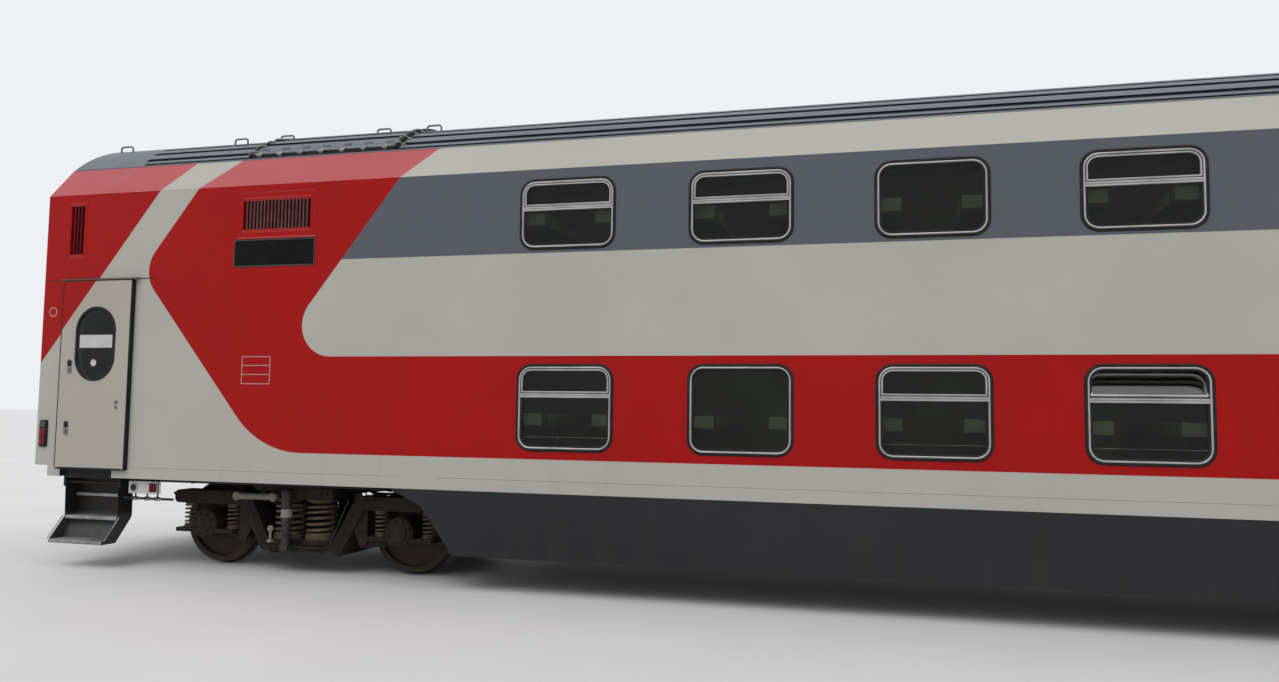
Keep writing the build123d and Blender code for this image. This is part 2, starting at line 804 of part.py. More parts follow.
# Gangways: a folded rubber ring on each end with a face frame
for end_name, end in ends:
    ring_height = gangway_top - gangway_bottom
    ring_middle = (gangway_top + gangway_bottom) / 2
    fold_pitch = (gangway_depth - gangway_face_thickness) / gangway_folds
    with BuildPart() as gangway:
        # start, length and growth of each ring: the tube, the face frame and the folds
        rings = [
            (0, gangway_depth, 0),
            (gangway_depth - gangway_face_thickness, gangway_face_thickness, gangway_fold_height),
        ]
        for number in range(gangway_folds):
            rings.append(((number + 0.25) * fold_pitch, fold_pitch / 2, gangway_fold_height))
        for start_x, length, growth in rings:
            with BuildSketch(Plane.YZ.offset(end * (end_x + start_x))):
                with Locations((0, ring_middle)):
                    RectangleRounded(
                        gangway_width + 2 * growth, ring_height + 2 * growth, gangway_corner + growth
                    )
                    RectangleRounded(
                        gangway_width - 2 * gangway_wall,
                        ring_height - 2 * gangway_wall,
                        gangway_corner - gangway_wall,
                        mode=Mode.SUBTRACT,
                    )
            extrude(amount=end * length)
    gangway.part.label = f"gangway_{end_name}"
    export_step(gangway.part, f"parts/gangway_{end_name}.step")

# Couplers: a drawbar and a head with one cone and one cup
for end_name, end in ends:
    with BuildPart() as coupler:
        with BuildSketch(Plane.YZ.offset(end * (shell_half_length - drawbar_pocket))):
            with Locations((0, coupler_height)):
                Circle(drawbar_radius)
        extrude(amount=end * (coupler_face_x - coupler_head_length / 2 - shell_half_length + drawbar_pocket))
        with BuildSketch(Plane.YZ.offset(end * (coupler_face_x - coupler_head_length))):
            with Locations((0, coupler_height)):
                RectangleRounded(coupler_head_width, coupler_head_height, coupler_head_corner)
        extrude(amount=end * (coupler_head_length - coupler_cone_length))
        cone_plane = Plane.YZ.offset(end * (coupler_face_x - coupler_cone_length))
        with BuildSketch(cone_plane):
            with Locations((coupler_head_width / 4, coupler_height)):
                Circle(coupler_cone_radius)
        extrude(amount=end * coupler_cone_length, taper=coupler_taper)
        with BuildSketch(cone_plane):
            with Locations((-coupler_head_width / 4, coupler_height)):
                Circle(coupler_cone_radius + coupler_cup_gap)
        extrude(amount=-end * coupler_cup_depth, taper=coupler_taper, mode=Mode.SUBTRACT)
    coupler.part.label = f"coupler_{end_name}"
    export_step(coupler.part, f"parts/coupler_{end_name}.step")

# Tail lamps on the four corners
with BuildPart() as tail_lamps:
    for _, end in ends:
        for _, side in sides:
            with BuildSketch(Plane.XZ.offset(-side * body_half_width)):
                with Locations((end * lamp_x, lamp_middle)):
                    RectangleRounded(lamp_width, lamp_height, lamp_corner)
            extrude(amount=-side * lamp_proud)
tail_lamps.part.label = "tail_lamps"
export_step(tail_lamps.part, "parts/tail_lamps.step")

# Ventilation grilles: a border with upright slats, let into the side walls
with BuildPart() as vent_grilles:
    for _, side in sides:
        for (x_low, x_high, z_low, z_high), slats, border in (
            (upright_grille, upright_grille_slats, upright_grille_border),
            (row_grille, row_grille_slats, row_grille_border),
            (far_grille, row_grille_slats, row_grille_border),
        ):
            middle = ((x_low + x_high) / 2, (z_low + z_high) / 2)
            inner_width = x_high - x_low - 2 * border
            inner_height = z_high - z_low - 2 * border
            with BuildSketch(Plane.XZ.offset(-side * (body_half_width + grille_proud))):
                with Locations(middle):
                    Rectangle(x_high - x_low, z_high - z_low)
                    Rectangle(inner_width, inner_height, mode=Mode.SUBTRACT)
                    with GridLocations(inner_width / slats, 0, slats - 1, 1):
                        Rectangle(slat_thickness, inner_height + 2)
            extrude(amount=side * (grille_pocket_depth + grille_proud))
vent_grilles.part.label = "vent_grilles"
export_step(vent_grilles.part, "parts/vent_grilles.step")

# Destination displays, dark and blank, at the door end of each side
with BuildPart() as destination_displays:
    for _, side in sides:
        x_low, x_high, z_low, z_high = display
        with BuildSketch(Plane.XZ.offset(-side * (body_half_width + grille_proud))):
            with Locations(((x_low + x_high) / 2, (z_low + z_high) / 2)):
                Rectangle(x_high - x_low, z_high - z_low)
        extrude(amount=side * (grille_pocket_depth + grille_proud))
destination_displays.part.label = "destination_displays"
export_step(destination_displays.part, "parts/destination_displays.step")

# Gear under the end floors: air reservoirs at the door end, battery boxes at the other
with BuildPart() as underfloor_gear:
    for _, side in sides:
        with Locations((battery_x, side * battery_y, end_floor_bottom)):
            Box(
                battery_length,
                battery_width,
                battery_height,
                align=(Align.CENTER, Align.CENTER, Align.MAX),
            )
        with BuildSketch(Plane.YZ.offset(reservoir_x - reservoir_length / 2)):
            with Locations((side * reservoir_y, reservoir_height)):
                Circle(reservoir_radius)
        extrude(amount=reservoir_length)
        for strap in (-1, 1):
            strap_x = reservoir_x + strap * reservoir_strap_offset
            with Locations((strap_x, side * reservoir_y, end_floor_bottom)):
                Box(
                    reservoir_strap_width,
                    reservoir_strap_depth,
                    reservoir_radius / 2,
                    align=(Align.CENTER, Align.CENTER, Align.MAX),
                )
underfloor_gear.part.label = "underfloor_gear"
export_step(underfloor_gear.part, "parts/underfloor_gear.step")

# Entry steps: two treads and their risers between side plates that hang from pins, and the pins' brackets
step_half_depth = step_tread_depth / 2
step_width = step_x_high - step_x_low
step_middle_x = (step_x_low + step_x_high) / 2
upper_riser_top = step_pivot_height + step_lug
for side_name, side in sides:
    with BuildPart() as entry_steps:
        for plate_x in (step_x_low, step_x_high - step_plate_thickness):
            with BuildSketch(Plane.YZ.offset(plate_x)):
                with BuildLine():
                    Polyline(
                        (side * (step_bar_y - step_bar_depth / 2), upper_riser_top),
                        (side * (step_pivot_y + step_lug), upper_riser_top),
                        (side * (step_pivot_y + step_lug), step_pivot_height - step_lug),
                        (side * (step_upper_y + step_half_depth), step_upper_height),
                        (side * (step_lower_y + step_half_depth), step_lower_height),
                        (side * (step_lower_y + step_half_depth), step_lower_height - step_tread_thickness),
                        (side * (step_lower_y - step_half_depth), step_lower_height - step_tread_thickness),
                        (side * (step_upper_y - step_half_depth), step_upper_height - step_tread_thickness),
                        (side * (step_bar_y - step_bar_depth / 2), step_upper_height),
                        close=True,
                    )
                make_face()
            extrude(amount=step_plate_thickness)
        for tread_y, tread_height, tread_depth in (
            (step_lower_y, step_lower_height, step_tread_depth),
            (step_upper_y, step_upper_height, step_tread_depth),
            (step_bar_y, step_bar_height, step_bar_depth),
        ):
            with Locations((step_middle_x, side * tread_y, tread_height)):
                Box(
                    step_width,
                    tread_depth,
                    step_tread_thickness,
                    align=(Align.CENTER, Align.CENTER, Align.MAX),
                )
        # Risers: between the two treads, and from the upper tread to the floor's edge
        with BuildSketch(Plane.YZ.offset(step_x_low)):
            with BuildLine():
                Polyline(
                    (side * (step_lower_y - step_half_depth), step_lower_height - step_tread_thickness),
                    (side * (step_lower_y - step_half_depth + step_riser_thickness), step_lower_height),
                    (side * (step_upper_y - step_riser_inset + step_riser_thickness), step_upper_height),
                    (side * (step_upper_y - step_riser_inset), step_upper_height - step_tread_thickness),
                    close=True,
                )
            make_face()
            with Locations((side * step_bar_y, step_upper_height - step_tread_thickness)):
                Rectangle(
                    step_riser_thickness,
                    upper_riser_top - step_upper_height + step_tread_thickness,
                    align=(Align.CENTER, Align.MIN),
                )
        extrude(amount=step_width)
        pin_reach = step_bracket_thickness + running_gap
        with BuildSketch(Plane.YZ.offset(step_x_low - pin_reach)):
            with Locations((side * step_pivot_y, step_pivot_height)):
                Circle(step_pin_radius)
        extrude(amount=step_width + 2 * pin_reach)
    entry_steps.part.label = f"entry_steps_{side_name}"
    export_step(entry_steps.part, f"parts/entry_steps_{side_name}.step")

with BuildPart() as step_brackets:
    for _, side in sides:
        for bracket_x in (step_x_low - running_gap - step_bracket_thickness, step_x_high + running_gap):
            with BuildSketch(Plane.YZ.offset(bracket_x)):
                with Locations((side * (wall_inner_y - step_bracket_width / 2), end_floor_bottom)):
                    Rectangle(
                        step_bracket_width,
                        end_floor_bottom - step_pivot_height + step_bracket_below_pin,
                        align=(Align.CENTER, Align.MAX),
                    )
                with Locations((side * step_pivot_y, step_pivot_height)):
                    Circle(step_pin_radius + seat_gap, mode=Mode.SUBTRACT)
            extrude(amount=step_bracket_thickness)
step_brackets.part.label = "step_brackets"
export_step(step_brackets.part, "parts/step_brackets.step")

# Bogies
rim_centre_y = wheel_back_to_back / 2 + rim_width / 2
rim_outer_y = wheel_back_to_back / 2 + rim_width
rim_inner_radius = wheel_radius - rim_thickness
flange_radius = wheel_radius + flange_depth
for end_name, end in ends:
    bogie_x = end * bogie_centre_x
    beam_underside = side_beam_end_top - side_beam_end_depth
    primary_height = beam_underside - wing_top
    box_places = [
        (bogie_x + axle_side * wheelbase / 2, axle_side, side) for axle_side in (-1, 1) for _, side in sides
    ]

    with BuildPart() as bogie_frame:
        for _, side in sides:
            with BuildSketch(Plane.XZ.offset(-side * journal_centre_y)):
                with BuildLine():
                    half_outline = [
                        (side_beam_low_x, spring_base_height),
                        (side_beam_high_x, side_beam_end_top),
                        (side_beam_half_length, side_beam_end_top),
                        (side_beam_half_length, beam_underside),
                        (side_beam_high_x + side_beam_high_step, beam_underside),
                        (side_beam_low_x + side_beam_low_step, spring_base_height - side_beam_middle_depth),
                    ]
                    FilletPolyline(
                        *[(bogie_x + x, z) for x, z in half_outline],
                        *[(bogie_x - x, z) for x, z in reversed(half_outline)],
                        radius=side_beam_bend,
                        close=True,
                    )
                make_face()
            extrude(amount=side_beam_width / 2, both=True)
            for spring_side in (-1, 1):
                seat_x = bogie_x + spring_side * spring_offset_x
                with Locations((seat_x, side * journal_centre_y, spring_base_height)):
                    Cylinder(
                        spring_diameter / 2 + spring_seat_rim,
                        spring_seat_thickness,
                        align=(Align.CENTER, Align.CENTER, Align.MAX),
                    )
            # Cheeks under the side beam, with the pin of each axle box arm
            for axle_side in (-1, 1):
                bush_x = bogie_x + axle_side * (wheelbase / 2 - arm_length)
                for cheek_side in (-1, 1):
                    cheek_y = side * journal_centre_y + cheek_side * (arm_width / 2 + running_gap)
                    with BuildSketch(Plane.XZ.offset(-cheek_y)):
                        with BuildLine():
                            Polyline(
                                (bush_x - axle_side * bush_cheek_half, bush_height),
                                (bush_x + axle_side * bush_cheek_half, bush_height),
                                (bush_x + axle_side * bush_cheek_half, beam_underside + side_beam_bend),
                                (bush_x - axle_side * bush_cheek_step, bush_height + bush_cheek_step),
                                close=True,
                            )
                        make_face()
                        with Locations((bush_x, bush_height)):
                            Circle(bush_cheek_half)
                    extrude(amount=-cheek_side * bush_cheek_thickness)
                with BuildSketch(Plane.XZ.offset(-side * journal_centre_y)):
                    with Locations((bush_x, bush_height)):
                        Circle(bush_pin_radius)
                extrude(amount=arm_width / 2 + running_gap + bush_cheek_thickness, both=True)
        for tube_side in (-1, 1):
            with BuildSketch(Plane.XZ.offset(-journal_centre_y)):
                with Locations((bogie_x + tube_side * cross_tube_x, cross_tube_height)):
                    Circle(cross_tube_radius)
            extrude(amount=2 * journal_centre_y)
        # Hangers for the brake calipers on the cross tubes
        for tube_side in (-1, 1):
            for disc_y in (-brake_disc_y, brake_disc_y):
                with Locations((bogie_x + tube_side * caliper_hanger_x, disc_y, cross_tube_height)):
                    Box(
                        2 * (caliper_start_x - caliper_hanger_x),
                        caliper_hanger_width,
                        caliper_height + caliper_depth / 2 - cross_tube_height,
                        align=(Align.CENTER, Align.CENTER, Align.MIN),
                    )
    bogie_frame.part.label = f"bogie_frame_{end_name}"
    export_step(bogie_frame.part, f"parts/bogie_frame_{end_name}.step")

    with BuildPart() as bogie_bolster:
        with Locations(*[(bogie_x, side * journal_centre_y, spring_top_height) for _, side in sides]):
            Box(
                2 * bolster_half_x,
                bolster_pad_width,
                bolster_depth,
                align=(Align.CENTER, Align.CENTER, Align.MIN),
            )
        with Locations((bogie_x, 0, spring_top_height)):
            Box(
                bolster_beam_width,
                2 * journal_centre_y,
                bolster_depth,
                align=(Align.CENTER, Align.CENTER, Align.MIN),
            )
        with Locations((bogie_x, 0, spring_top_height)):
            Cylinder(
                pivot_pin_radius + seat_gap,
                bolster_depth + 1,
                align=(Align.CENTER, Align.CENTER, Align.MIN),
                mode=Mode.SUBTRACT,
            )
    bogie_bolster.part.label = f"bogie_bolster_{end_name}"
    export_step(bogie_bolster.part, f"parts/bogie_bolster_{end_name}.step")

    # Springs, each drawn as a core with a ring for every turn of the coil, on a cup and under a tapered pad
    with BuildPart() as secondary_springs:
        coil_low = spring_base_height + spring_cup_height
        coil_high = spring_top_height - spring_pad_height
        turn_pitch = (coil_high - coil_low) / spring_turns
        for spring_side in (-1, 1):
            for _, side in sides:
                spring_x = bogie_x + spring_side * spring_offset_x
                spring_y = side * journal_centre_y
                with Locations((spring_x, spring_y, spring_base_height)):
                    Cylinder(
                        spring_diameter / 2, spring_cup_height, align=(Align.CENTER, Align.CENTER, Align.MIN)
                    )
                    Cylinder(
                        spring_diameter / 2 - spring_wire,
                        coil_high - spring_base_height,
                        align=(Align.CENTER, Align.CENTER, Align.MIN),
                    )
                for number in range(spring_turns):
                    with Locations((spring_x, spring_y, coil_low + (number + 0.25) * turn_pitch)):
                        Cylinder(
                            spring_diameter / 2, turn_pitch / 2, align=(Align.CENTER, Align.CENTER, Align.MIN)
                        )
                with Locations((spring_x, spring_y, coil_high)):
                    Cone(
                        spring_diameter / 2,
                        spring_diameter / 2 - spring_wire,
                        spring_pad_height,
                        align=(Align.CENTER, Align.CENTER, Align.MIN),
                    )
    secondary_springs.part.label = f"secondary_springs_{end_name}"
    export_step(secondary_springs.part, f"parts/secondary_springs_{end_name}.step")

    with BuildPart() as primary_springs:
        turn_pitch = primary_height / primary_spring_turns
        for box_x, _, side in box_places:
            for wing_side in (-1, 1):
                spring_x = box_x + wing_side * axle_box_wing_x
                with Locations((spring_x, side * journal_centre_y, wing_top)):
                    Cylinder(primary_spring_core, primary_height, align=(Align.CENTER, Align.CENTER, Align.MIN))
                for number in range(primary_spring_turns):
                    turn_height = wing_top + (number + 0.25) * turn_pitch
                    with Locations((spring_x, side * journal_centre_y, turn_height)):
                        Cylinder(
                            primary_spring_radius, turn_pitch / 2, align=(Align.CENTER, Align.CENTER, Align.MIN)
                        )
    primary_springs.part.label = f"primary_springs_{end_name}"
    export_step(primary_springs.part, f"parts/primary_springs_{end_name}.step")

    with BuildPart() as axle_boxes:
        for box_x, axle_side, side in box_places:
            inner_face = Plane.XZ.offset(-side * (journal_centre_y - journal_half_length))
            bush_x = box_x - axle_side * arm_length
            with BuildSketch(inner_face):
                with Locations((box_x, axle_height)):
                    Circle(axle_box_radius)
                with Locations((box_x, wing_top)):
                    Rectangle(
                        2 * (axle_box_wing_x + axle_box_wing_half),
                        axle_box_wing_thickness,
                        align=(Align.CENTER, Align.MAX),
                    )
            extrude(amount=-side * (2 * journal_half_length + axle_box_cover))
            with BuildSketch(Plane.XZ.offset(-side * journal_centre_y)):
                with BuildLine():
                    Polyline(
                        (box_x, wing_top),
                        (bush_x, bush_height + bush_radius),
                        (bush_x, bush_height - bush_radius),
                        (box_x, axle_height - arm_root_drop),
                        close=True,
                    )
                make_face()
                with Locations((bush_x, bush_height)):
                    Circle(bush_radius)
            extrude(amount=arm_width / 2, both=True)
            with BuildSketch(Plane.XZ.offset(-side * journal_centre_y)):
                with Locations((bush_x, bush_height)):
                    Circle(bush_pin_radius + seat_gap)
            extrude(amount=arm_width / 2 + 1, both=True, mode=Mode.SUBTRACT)
            with BuildSketch(inner_face):
                with Locations((box_x, axle_height)):
                    Circle(journal_radius + seat_gap)
            extrude(amount=-side * (2 * journal_half_length + running_gap), mode=Mode.SUBTRACT)
    axle_boxes.part.label = f"axle_boxes_{end_name}"
    export_step(axle_boxes.part, f"parts/axle_boxes_{end_name}.step")

    # Dampers: an upright one beside the springs, a level one between the bolster and the side beam's end
    with BuildPart() as dampers:
        for _, side in sides:
            upright_x = bogie_x + end * damper_x
            with Locations((upright_x, side * damper_y, damper_foot)):
                Cylinder(damper_radius, damper_body_length, align=(Align.CENTER, Align.CENTER, Align.MIN))
            with Locations((upright_x, side * damper_y, damper_head)):
                Cylinder(
                    damper_cover_radius, damper_cover_length, align=(Align.CENTER, Align.CENTER, Align.MAX)
                )
            for face_y, bracket_height in (
                (journal_centre_y + side_beam_width / 2, damper_foot - damper_bracket / 2),
                (journal_centre_y + bolster_pad_width / 2, damper_head),
            ):
                reach = damper_y + damper_radius - face_y
                with Locations((upright_x, side * (face_y + reach / 2), bracket_height)):
                    Box(2 * damper_radius, reach, damper_bracket)
            with BuildSketch(Plane.YZ.offset(bogie_x + end * level_damper_inner_x)):
                with Locations((side * damper_y, level_damper_height)):
                    Circle(level_damper_radius)
            extrude(amount=end * (level_damper_outer_x - level_damper_inner_x))
            for face_y, bracket_x in (
                (journal_centre_y + bolster_pad_width / 2, level_damper_inner_x),
                (journal_centre_y + side_beam_width / 2, level_damper_outer_x),
            ):
                reach = damper_y + level_damper_radius - face_y
                with Locations((bogie_x + end * bracket_x, side * (face_y + reach / 2), level_damper_height)):
                    Box(damper_bracket, reach, damper_bracket)
    dampers.part.label = f"dampers_{end_name}"
    export_step(dampers.part, f"parts/dampers_{end_name}.step")

    # Disc brake calipers reaching from the cross tubes to the discs
    with BuildPart() as brake_calipers:
        for axle_side in (-1, 1):
            for disc_y in (-brake_disc_y, brake_disc_y):
                arm_end = wheelbase / 2 - brake_disc_radius / 2
                bridge_end = wheelbase / 2 - brake_disc_radius - running_gap
                for cheek in (-1, 1):
                    with Locations(
                        (
                            bogie_x + axle_side * (caliper_start_x + arm_end) / 2,
                            disc_y + cheek * (brake_disc_thickness / 2 + running_gap + caliper_cheek / 2),
                            caliper_height,
                        )
                    ):
                        Box(arm_end - caliper_start_x, caliper_cheek, caliper_depth)
                bridge_x = bogie_x + axle_side * (caliper_start_x + bridge_end) / 2
                with Locations((bridge_x, disc_y, caliper_height)):
                    Box(
                        bridge_end - caliper_start_x,
                        brake_disc_thickness + 2 * running_gap + 2 * caliper_cheek,
                        caliper_depth,
                    )
    brake_calipers.part.label = f"brake_calipers_{end_name}"
    export_step(brake_calipers.part, f"parts/brake_calipers_{end_name}.step")

    # Wheelsets: an axle with two brake discs, and two wheels on their seats
    for axle_number, axle_side in ((1, -1), (2, 1)):
        axle_x = bogie_x + axle_side * wheelbase / 2
        wheel_plane = Plane(origin=(axle_x, 0, axle_height), x_dir=(0, 1, 0), z_dir=(1, 0, 0))
        with BuildPart() as wheelset:
            with BuildSketch(wheel_plane):
                with BuildLine():
                    Polyline(
                        (-journal_centre_y - journal_half_length, 0),
                        (-journal_centre_y - journal_half_length, journal_radius),
                        (-rim_outer_y, journal_radius),
                        (-rim_outer_y, axle_radius),
                        (rim_outer_y, axle_radius),
                        (rim_outer_y, journal_radius),
                        (journal_centre_y + journal_half_length, journal_radius),
                        (journal_centre_y + journal_half_length, 0),
                        close=True,
                    )
                make_face()
                with Locations((-brake_disc_y, 0), (brake_disc_y, 0)):
                    Rectangle(brake_disc_thickness, brake_disc_radius, align=(Align.CENTER, Align.MIN))
            revolve(axis=Axis((axle_x, 0, axle_height), (0, 1, 0)))
            for _, side in sides:
                inner_y = side * wheel_back_to_back / 2
                inner_web_y = side * (rim_centre_y - web_thickness / 2)
                outer_web_y = side * (rim_centre_y + web_thickness / 2)
                with BuildSketch(wheel_plane):
                    with BuildLine():
                        Polyline(
                            (inner_y, axle_radius + seat_gap),
                            (inner_y, hub_radius),
                            (inner_web_y, hub_radius + hub_taper),
                            (inner_web_y, rim_inner_radius - hub_taper),
                            (inner_y, rim_inner_radius),
                            (inner_y, flange_radius - flange_bevel),
                            (inner_y + side * flange_bevel, flange_radius),
                            (inner_y + side * flange_tip, flange_radius),
                            (inner_y + side * flange_width, wheel_radius + rim_cone),
                            (side * rim_outer_y, wheel_radius - rim_cone),
                            (side * rim_outer_y, rim_inner_radius),
                            (outer_web_y, rim_inner_radius - hub_taper),
                            (outer_web_y, hub_radius + hub_taper),
                            (side * rim_outer_y, hub_radius),
                            (side * rim_outer_y, axle_radius + seat_gap),
                            close=True,
                        )
                    make_face()
                revolve(axis=Axis((axle_x, 0, axle_height), (0, 1, 0)))
        wheelset.part.label = f"wheelset_{end_name}{axle_number}"
        export_step(wheelset.part, f"parts/wheelset_{end_name}{axle_number}.step")
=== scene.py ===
import math
import bmesh
import bpy
import numpy as np
from mathutils import Matrix, Vector
from mathutils.geometry import delaunay_2d_cdt


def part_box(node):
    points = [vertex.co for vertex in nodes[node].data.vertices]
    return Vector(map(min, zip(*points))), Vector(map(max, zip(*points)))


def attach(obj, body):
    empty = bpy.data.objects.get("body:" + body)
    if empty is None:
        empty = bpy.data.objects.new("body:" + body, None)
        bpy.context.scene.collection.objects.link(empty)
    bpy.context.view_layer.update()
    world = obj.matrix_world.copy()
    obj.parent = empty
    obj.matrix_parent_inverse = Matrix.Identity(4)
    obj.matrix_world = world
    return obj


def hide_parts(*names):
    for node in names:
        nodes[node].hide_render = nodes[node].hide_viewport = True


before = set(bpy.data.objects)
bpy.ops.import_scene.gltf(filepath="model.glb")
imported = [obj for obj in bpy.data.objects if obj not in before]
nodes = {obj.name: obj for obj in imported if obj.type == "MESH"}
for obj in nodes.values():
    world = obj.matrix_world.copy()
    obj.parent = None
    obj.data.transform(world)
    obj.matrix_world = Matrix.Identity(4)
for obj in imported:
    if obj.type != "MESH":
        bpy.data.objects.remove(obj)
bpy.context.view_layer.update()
print("frame loaded with", len(nodes), "nodes")

railTop = 0.028      # the wheel flanges reach this far below the rail head
sides = (("right", -1), ("left", 1))
ends = (("a", -1), ("b", 1))

wallLow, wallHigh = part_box("side_wall_right")
body = {
    "endX": -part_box("end_wall_a")[0].x,
    "halfWidth": -wallLow.y,
    "skirtZ": wallLow.z,
    "sillZ": railTop + 0.996,
    "foldZ": railTop + 4.313,
    "gutterZ": wallHigh.z,
    "gutterHalfWidth": 1.247,
    "ridgeZ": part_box("roof")[1].z,
    "skirtKnee": (7.792, railTop + 0.823),
    "skirtTopX": 8.156,
    "skirtBottomX": 7.414,
    "cornerCutX": 12.61,      # the wall stops higher beyond this, under the tail lamps
    "cornerCutZ": railTop + 1.120,
    "paintLift": 0.0012,      # the paint lies this far outside the wall
    "endRim": 0.045,          # the sides and the roof reach this far past the end walls
}
roofRise = body["ridgeZ"] - body["gutterZ"]
body["roofRadius"] = (body["gutterHalfWidth"] ** 2 + roofRise ** 2) / (2 * roofRise)
body["roofCentreZ"] = body["ridgeZ"] - body["roofRadius"]
windows = {
    "pitch": 1.78, "count": 8, "width": 0.979, "corner": 0.13,
    # deck, lowest edge, highest edge, lower edge of the transom
    "decks": (
        ("lower", railTop + 1.443, railTop + 2.276, railTop + 1.960),
        ("upper", railTop + 3.498, railTop + 4.185, railTop + 3.878),
    ),
    "frameWidth": 0.0363, "paneOuter": 1.563, "paneInner": 1.539,
    "sashGap": 0.025, "sashCorner": 0.012, "barHeight": 0.045, "barGap": 0.005, "barInset": 0.0185,
    "paneCorner": 0.010, "paneLap": 0.002, "ventLift": 0.014, "hingeLift": 0.006,      # above the sash's lower edge
    "fixed": (("upper", 2), ("lower", 1)),
    "open": ("right", "lower", 3), "openAngle": 30.0,      # this vent leans into the coach
    "rodHeight": 0.118, "rodY": 1.512, "rodRadius": 0.006,
}
windowX = [(number - (windows["count"] - 1) / 2) * windows["pitch"] for number in range(windows["count"])]
doorLow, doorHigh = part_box("entry_door_left")
door = {
    "xLow": doorLow.x, "xHigh": doorHigh.x, "zLow": doorLow.z, "zHigh": doorHigh.z, "faceY": doorHigh.y,
    "corner": 0.02, "windowX": -11.968, "windowLow": railTop + 2.105, "windowHigh": railTop + 2.966,
    "windowWidth": 0.558, "glassY": doorHigh.y - 0.008, "glassDepth": 0.024, "lap": 0.030,
    "sillNotch": (-12.43, -11.70),
    "locks": ((-12.315, railTop + 2.270), (-12.320, railTop + 1.557)),
    "keyhole": (-11.632, railTop + 1.829),
    "strip": (-12.196, -11.737, railTop + 2.490, railTop + 2.640),      # a bare white strip on the glass
    "sticker": (-11.987, railTop + 2.315, 0.040),
}
camera = {
    "place": (-3.027, -10.694, railTop + 1.854),
    "yaw": 14.891, "pitch": 4.097, "roll": 0.711,      # degrees: towards -X, upwards, clockwise
    "focalPixels": 955.0, "pictureWidth": 1279.0, "sensor": 36.0,
}


# Shapes are (points, faces) in metres, worked out as whole arrays

def gridFaces(rows, columns, closeRows=False, closeColumns=False):
    # quads between neighbouring rows and columns of a grid of points, row by row
    i = np.arange(rows if closeRows else rows - 1)
    j = np.arange(columns if closeColumns else columns - 1)
    i, j = np.meshgrid(i, j, indexing="ij")
    nextI, nextJ = (i + 1) % rows, (j + 1) % columns
    return np.stack([i * columns + j, nextI * columns + j, nextI * columns + nextJ, i * columns + nextJ],
                    axis=-1).reshape(-1, 4).tolist()


def endFaces(count, total):
    # one face over the first and one over the last ring of count points
    return [list(range(count)), list(range(total - 1, total - count - 1, -1))]


def joinShapes(shapes):
    # stacks the points and shifts the faces of each shape past the points before it
    verts, faces, start = [], [], 0
    for points, rows in shapes:
        verts.append(np.asarray(points, float))
        faces.extend([corner + start for corner in face] for face in rows)
        start += len(verts[-1])
    return np.vstack(verts), faces


def addMesh(name, shapes, material, bodyName, smoothAngle=None, closed=True):
    # closed solids are welded at their poles and turned right side out
    verts, faces = joinShapes(shapes)
    mesh = bpy.data.meshes.new(name)
    mesh.from_pydata(verts.tolist(), [], faces)
    mesh.materials.append(material)
    if closed:
        work = bmesh.new()
        work.from_mesh(mesh)
        bmesh.ops.remove_doubles(work, verts=work.verts, dist=4e-6)
        bmesh.ops.recalc_face_normals(work, faces=work.faces)
        work.to_mesh(mesh)
        work.free()
    if smoothAngle is not None:
        mesh.shade_smooth()
        mesh.set_sharp_from_angle(angle=math.radians(smoothAngle))
    piece = bpy.data.objects.new(name, mesh)
    bpy.context.scene.collection.objects.link(piece)
    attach(piece, bodyName)
    return piece


def placed(shapes, signX=1, signY=1):
    # shapes modelled at +x or +y, mirrored to another corner of the coach
    return [(np.asarray(verts) * [signX, signY, 1], faces) for verts, faces in shapes]


def onBothSides(shapes, end=1):
    # shapes modelled at +x and +y, on the right and on the left; an end of -1 puts them at -x
    return [shape for _, side in sides for shape in placed(shapes, end, side)]


def atFourCorners(shapes):
    # the same at both ends
    return [shape for _, end in ends for shape in onBothSides(shapes, end)]


def addEachSide(name, shapes, material, smoothAngle=None):
    # one piece of its own on each side, riding on the coach's body
    for sideName, side in sides:
        addMesh(f"{name}_{sideName}", placed(shapes, 1, side), material, "root", smoothAngle)


def turned(shapes, directions, place, x):
    # shapes whose x, y and z are laid along three directions, at a place and x further along the coach
    return [(np.asarray(verts) @ np.array(directions) + place + [x, 0, 0], faces) for verts, faces in shapes]


def repeated(shapes, offsets):
    # the shapes again at each offset
    return [(np.asarray(verts) + offset, faces) for offset in np.asarray(offsets, float) for verts, faces in shapes]


def carryProfile(points, across, outward, profile, closedPath=True, closedProfile=True):
    # a profile carried along a path: point + across * u + outward * v for each profile point (u, v)
    points = np.asarray(points, float)
    across, outward = np.broadcast_to(across, points.shape), np.broadcast_to(outward, points.shape)
    profile = np.asarray(profile, float)
    verts = (points[:, None, :] + across[:, None, :] * profile[None, :, :1]
             + outward[:, None, :] * profile[None, :, 1:]).reshape(-1, 3)
    faces = gridFaces(len(points), len(profile), closedPath, closedProfile)
    if closedProfile and not closedPath:
        faces += endFaces(len(profile), len(verts))
    return verts, faces


def prism(start, stop, first, second, profile):
    # a profile carried straight from start to stop, first and second being its two directions
    return carryProfile([start, stop], first, second, profile, False)


